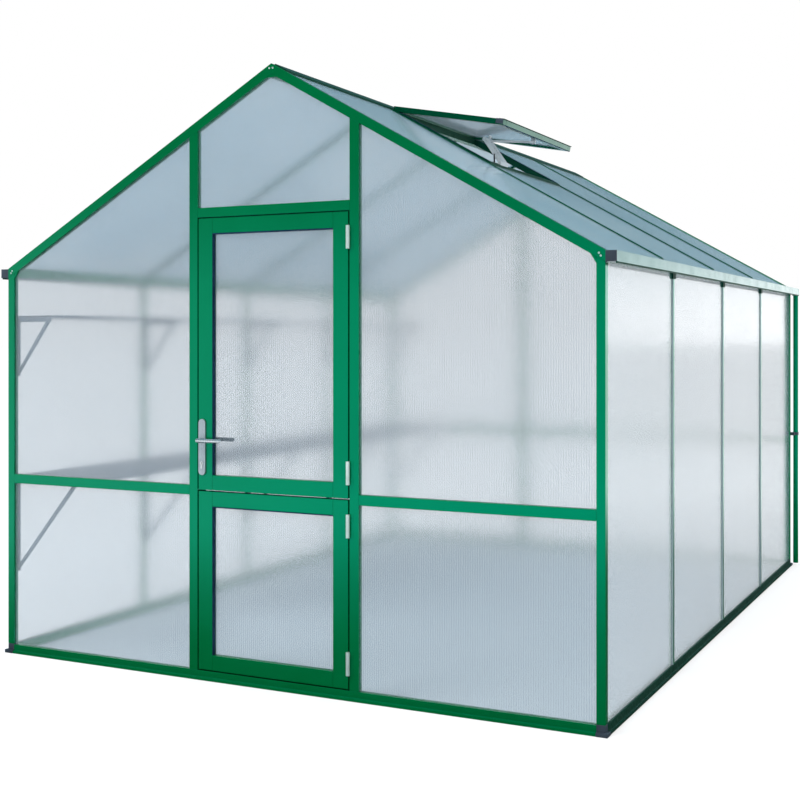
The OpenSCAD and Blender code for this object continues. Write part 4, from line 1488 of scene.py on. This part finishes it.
@dataclass
class Studio:
    """The floor, the lights and the camera."""

    lens: float = 57.53
    yaw: float = 26.33
    eye_x: float = 3.0059
    eye_back: float = 4.7831
    eye_z: float = 1.542
    shift: tuple[float, float] = (-0.0016, -0.0764)
    floor_reach: float = 400.0
    floor_color: RGB = (0.5, 0.57, 0.62)
    floor_glow: RGB = (0.52, 0.46, 0.41)
    floor_fade: tuple[float, float] = (2.8, 6.8)
    panel_way: tuple[float, float] = (0.25, 0.97)
    panel_edge: tuple[float, float] = (0.72, 0.97)
    panel_gain: float = 2.3
    # Near-black floor colour for mirrored rays: a painted shadow round the building.
    mirrored_floor_shadow: RGB = (0.03, 0.06, 0.06)
    base_lap: float = 20 * MM
    sky: float = 1.1
    sky_color: RGB = (0.96, 0.98, 1.0)
    outer_lamps: tuple[tuple[str, Spot, float], ...] = (
        ("key_lamp", (-3.5, -7.0, 7.5), 420), ("fill_lamp", (7.5, -2.0, 5.0), 90),
        ("back_lamp", (5.5, 9.0, 6.0), 150),
    )
    lamp_size: float = 5.0
    lamp_aim: float = 1.2
    inner_power: float = 4.0
    inner_place: Spot = (-0.8, -1.0, 0.55)
    inner_soft: float = 0.35
    mirrored_sky: tuple[tuple[float, RGB], ...] = (
        (0.02, (1.0, 1.0, 1.0)), (0.06, (0.8, 0.85, 0.88)),
        (0.11, (0.1, 0.16, 0.18)), (0.2, (0.03, 0.075, 0.09)),
        (0.36, (0.05, 0.11, 0.14)), (0.7, (0.22, 0.42, 0.52)),
    )

    def build(self) -> None:
        """Builds the studio."""
        self.world()
        self.floor()
        self.lamps()
        self.camera()

    def white_rays(self, wires: Wires) -> bpy.types.NodeSocket:
        """Adds an output that is 1 for rays seen directly or passed through a sheet."""
        path = wires.add("LightPath").outputs
        return wires.math("MAXIMUM", path["Is Camera Ray"], path["Is Transmission Ray"])

    def mirror_rays(self, wires: Wires) -> bpy.types.NodeSocket:
        """Adds an output that is 1 for rays mirrored off a gloss and 0 for those passed through a sheet."""
        path = wires.add("LightPath").outputs
        passed = wires.math("SUBTRACT", 1.0, path["Is Transmission Ray"])
        return wires.math("MULTIPLY", path["Is Glossy Ray"], passed)

    def bare_rays(self, wires: Wires) -> bpy.types.NodeSocket:
        """Adds an output that is 1 for mirrored rays off a gloss that no sheet stands before."""
        depth = wires.add("LightPath").outputs["Transparent Depth"]
        return wires.math("MULTIPLY", self.mirror_rays(wires), wires.math("LESS_THAN", depth, 0.5))

    def sheet_rays(self, wires: Wires) -> bpy.types.NodeSocket:
        """Adds an output that is 1 for rays seen directly or by way of a sheet."""
        path = wires.add("LightPath").outputs
        behind = wires.math("GREATER_THAN", path["Transparent Depth"], 0.5)
        glossy = wires.math("MULTIPLY", path["Is Glossy Ray"], behind)
        return wires.math("MAXIMUM", self.white_rays(wires), glossy)

    def soft_panel(self, wires: Wires, way: bpy.types.NodeSocket) -> bpy.types.NodeSocket:
        """Adds the brightness of a broad soft panel that stands far off on one side.

        Args:
            wires: The tree to add it to.
            way: An output with a direction, or with a place seen from the middle.

        Returns:
            An output with 1, rising to more towards the panel.
        """
        flat = wires.add("VectorMath", {0: way, 1: (1, 1, 0)}, operation="MULTIPLY")
        unit = wires.add("VectorMath", {0: flat.outputs["Vector"]}, operation="NORMALIZE")
        ends = {0: unit.outputs["Vector"], 1: (*self.panel_way, 0)}
        facing = wires.add("VectorMath", ends, operation="DOT_PRODUCT")
        inputs = {
            "Value": facing.outputs["Value"], "From Min": self.panel_edge[0], "From Max": self.panel_edge[1],
            "To Min": 1.0, "To Max": self.panel_gain,
        }
        return wires.add("MapRange", inputs, interpolation_type="SMOOTHSTEP").outputs["Result"]

    def world(self) -> None:
        """A white world to look at, a dimmer high sky to mirror and a soft sky to light with."""
        world = bpy.data.worlds.new("studio")
        bpy.context.scene.world = world
        world.use_nodes = True
        wires = Wires(world.node_tree)
        seen = wires.add("Background", {"Color": (1, 1, 1, 1)})
        sky = wires.add("Background", {"Color": (*self.sky_color, 1), "Strength": self.sky})
        way = wires.add("TexCoord").outputs["Generated"]
        height = wires.add("SeparateXYZ", {"Vector": way}).outputs["Z"]
        tones = wires.ramp(height, self.mirrored_sky)
        mirrored = wires.add("Background", {"Color": tones, "Strength": self.soft_panel(wires, way)})
        inner = {"Fac": self.white_rays(wires), 1: sky.outputs[0], 2: seen.outputs[0]}
        shown = wires.add("MixShader", inner).outputs[0]
        outer = {"Fac": self.mirror_rays(wires), 1: shown, 2: mirrored.outputs[0]}
        wires.add("OutputWorld", {"Surface": wires.add("MixShader", outer).outputs[0]})

    def floor(self) -> None:
        """A pale floor that shows as white round the building where nothing shades it."""
        shape = bmesh.new()
        r = self.floor_reach
        shape.faces.new([shape.verts.new(p) for p in ((-r, -r, 0), (r, -r, 0), (r, r, 0), (-r, r, 0))])
        data = bpy.data.meshes.new("studio_floor")
        shape.to_mesh(data)
        shape.free()
        floor = bpy.data.objects.new("studio_floor", data)
        bpy.context.scene.collection.objects.link(floor)
        data.materials.append(self.floor_paint())

    def floor_paint(self) -> bpy.types.Material:
        """Builds the floor's material, which glows for direct rays outside the building's base."""
        desk = NodeDesk("pale_floor")
        split = desk.add("SeparateXYZ", {"Vector": desk.place})
        sides = []
        for axis, half in zip("XY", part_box("base_rails_side")[1]):
            size = desk.math("ABSOLUTE", split.outputs[axis])
            sides.append(desk.math("GREATER_THAN", size, half - self.base_lap))
        outside = desk.math("MAXIMUM", *sides)
        length = desk.add("VectorMath", {0: desk.place}, operation="LENGTH").outputs["Value"]
        start, end = self.floor_fade
        fade = desk.add("MapRange", {"Value": length, "From Min": start, "From Max": end})
        # Mirrored rays that meet the floor near the building see a near-black colour, a painted shadow of the
        # building, fading to the plain floor colour further off.
        glossy = self.bare_rays(desk)
        mirrored = desk.math("MULTIPLY", glossy, fade.outputs["Result"])
        tones = {
            "Factor": desk.math("SUBTRACT", glossy, mirrored),
            "A": (*self.floor_color, 1), "B": (*self.mirrored_floor_shadow, 1),
        }
        tone = desk.add("Mix", tones, data_type="RGBA").outputs["Result"]
        desk.put(Base_Color=tone, Roughness=0.9, Specular_IOR_Level=0.1)
        panel = desk.math("MULTIPLY", mirrored, self.soft_panel(desk, desk.place))
        shown = desk.math("MAXIMUM", self.sheet_rays(desk), panel)
        strength = desk.math("MULTIPLY", shown, outside)
        glow = desk.add("Emission", {"Color": (*self.floor_glow, 1), "Strength": strength})
        both = desk.add("AddShader", {0: desk.shader.outputs["BSDF"], 1: glow.outputs["Emission"]})
        desk.join(desk.output.inputs["Surface"], both.outputs["Shader"])
        return desk.material

    def lamps(self) -> None:
        """A large key lamp, weaker ones at the side and behind, and a small one inside."""
        for name, place, power in self.outer_lamps:
            data = bpy.data.lights.new(name, "AREA")
            data.shape = "RECTANGLE"
            data.size = data.size_y = self.lamp_size
            lamp = self.hang(data, place, power)
            way = Vector((0, 0, self.lamp_aim)) - Vector(place)
            lamp.rotation_euler = way.to_track_quat("-Z", "Y").to_euler()
        inner = bpy.data.lights.new("inner_lamp", "POINT")
        inner.shadow_soft_size = self.inner_soft
        self.hang(inner, self.inner_place, self.inner_power)

    def hang(self, data: bpy.types.Light, place: Spot, power: float) -> bpy.types.Object:
        """Hangs a lamp that lights the building but is not seen or mirrored.

        Args:
            data: The lamp's data.
            place: Where it hangs.
            power: Its power in watts.

        Returns:
            The lamp.
        """
        data.energy = power
        lamp = bpy.data.objects.new(data.name, data)
        lamp.location = place
        lamp.visible_camera = False
        lamp.visible_glossy = False
        lamp.visible_transmission = False
        bpy.context.scene.collection.objects.link(lamp)
        return lamp

    def camera(self) -> None:
        """Stands the camera to the right of the door end."""
        data = bpy.data.cameras.new("view")
        data.sensor_width = 36
        data.lens = self.lens
        data.shift_x, data.shift_y = self.shift
        data.clip_end = 200
        camera = bpy.data.objects.new("view", data)
        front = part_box("door_header")[0].y
        camera.location = (self.eye_x, front - self.eye_back, self.eye_z)
        camera.rotation_euler = (math.radians(90), 0, math.radians(self.yaw))
        bpy.context.scene.collection.objects.link(camera)
        bpy.context.scene.camera = camera


def main() -> None:
    """Builds every sub-assembly and the studio."""
    logging.basicConfig(level=logging.INFO, format="%(message)s")
    paints = Paints()
    for assembly in (
        FrameMembers(paints), DoorLeaves(paints), Glazing(paints), Gaskets(paints), DarkMouldings(paints),
        RainWater(paints), DoorHinges(paints), HandleSet(paints), DoorStops(paints), Fasteners(paints),
        Shelving(paints), VentFittings(paints), Studio(),
    ):
        LOG.info("building %s", type(assembly).__name__)
        assembly.build()
    scene = bpy.context.scene
    scene.view_settings.view_transform = "Standard"
    scene.cycles.transparent_max_bounces = 24
    scene.cycles.max_bounces = 6
    scene.cycles.diffuse_bounces = 2
    scene.cycles.glossy_bounces = 3


if __name__ == "__main__":
    main()
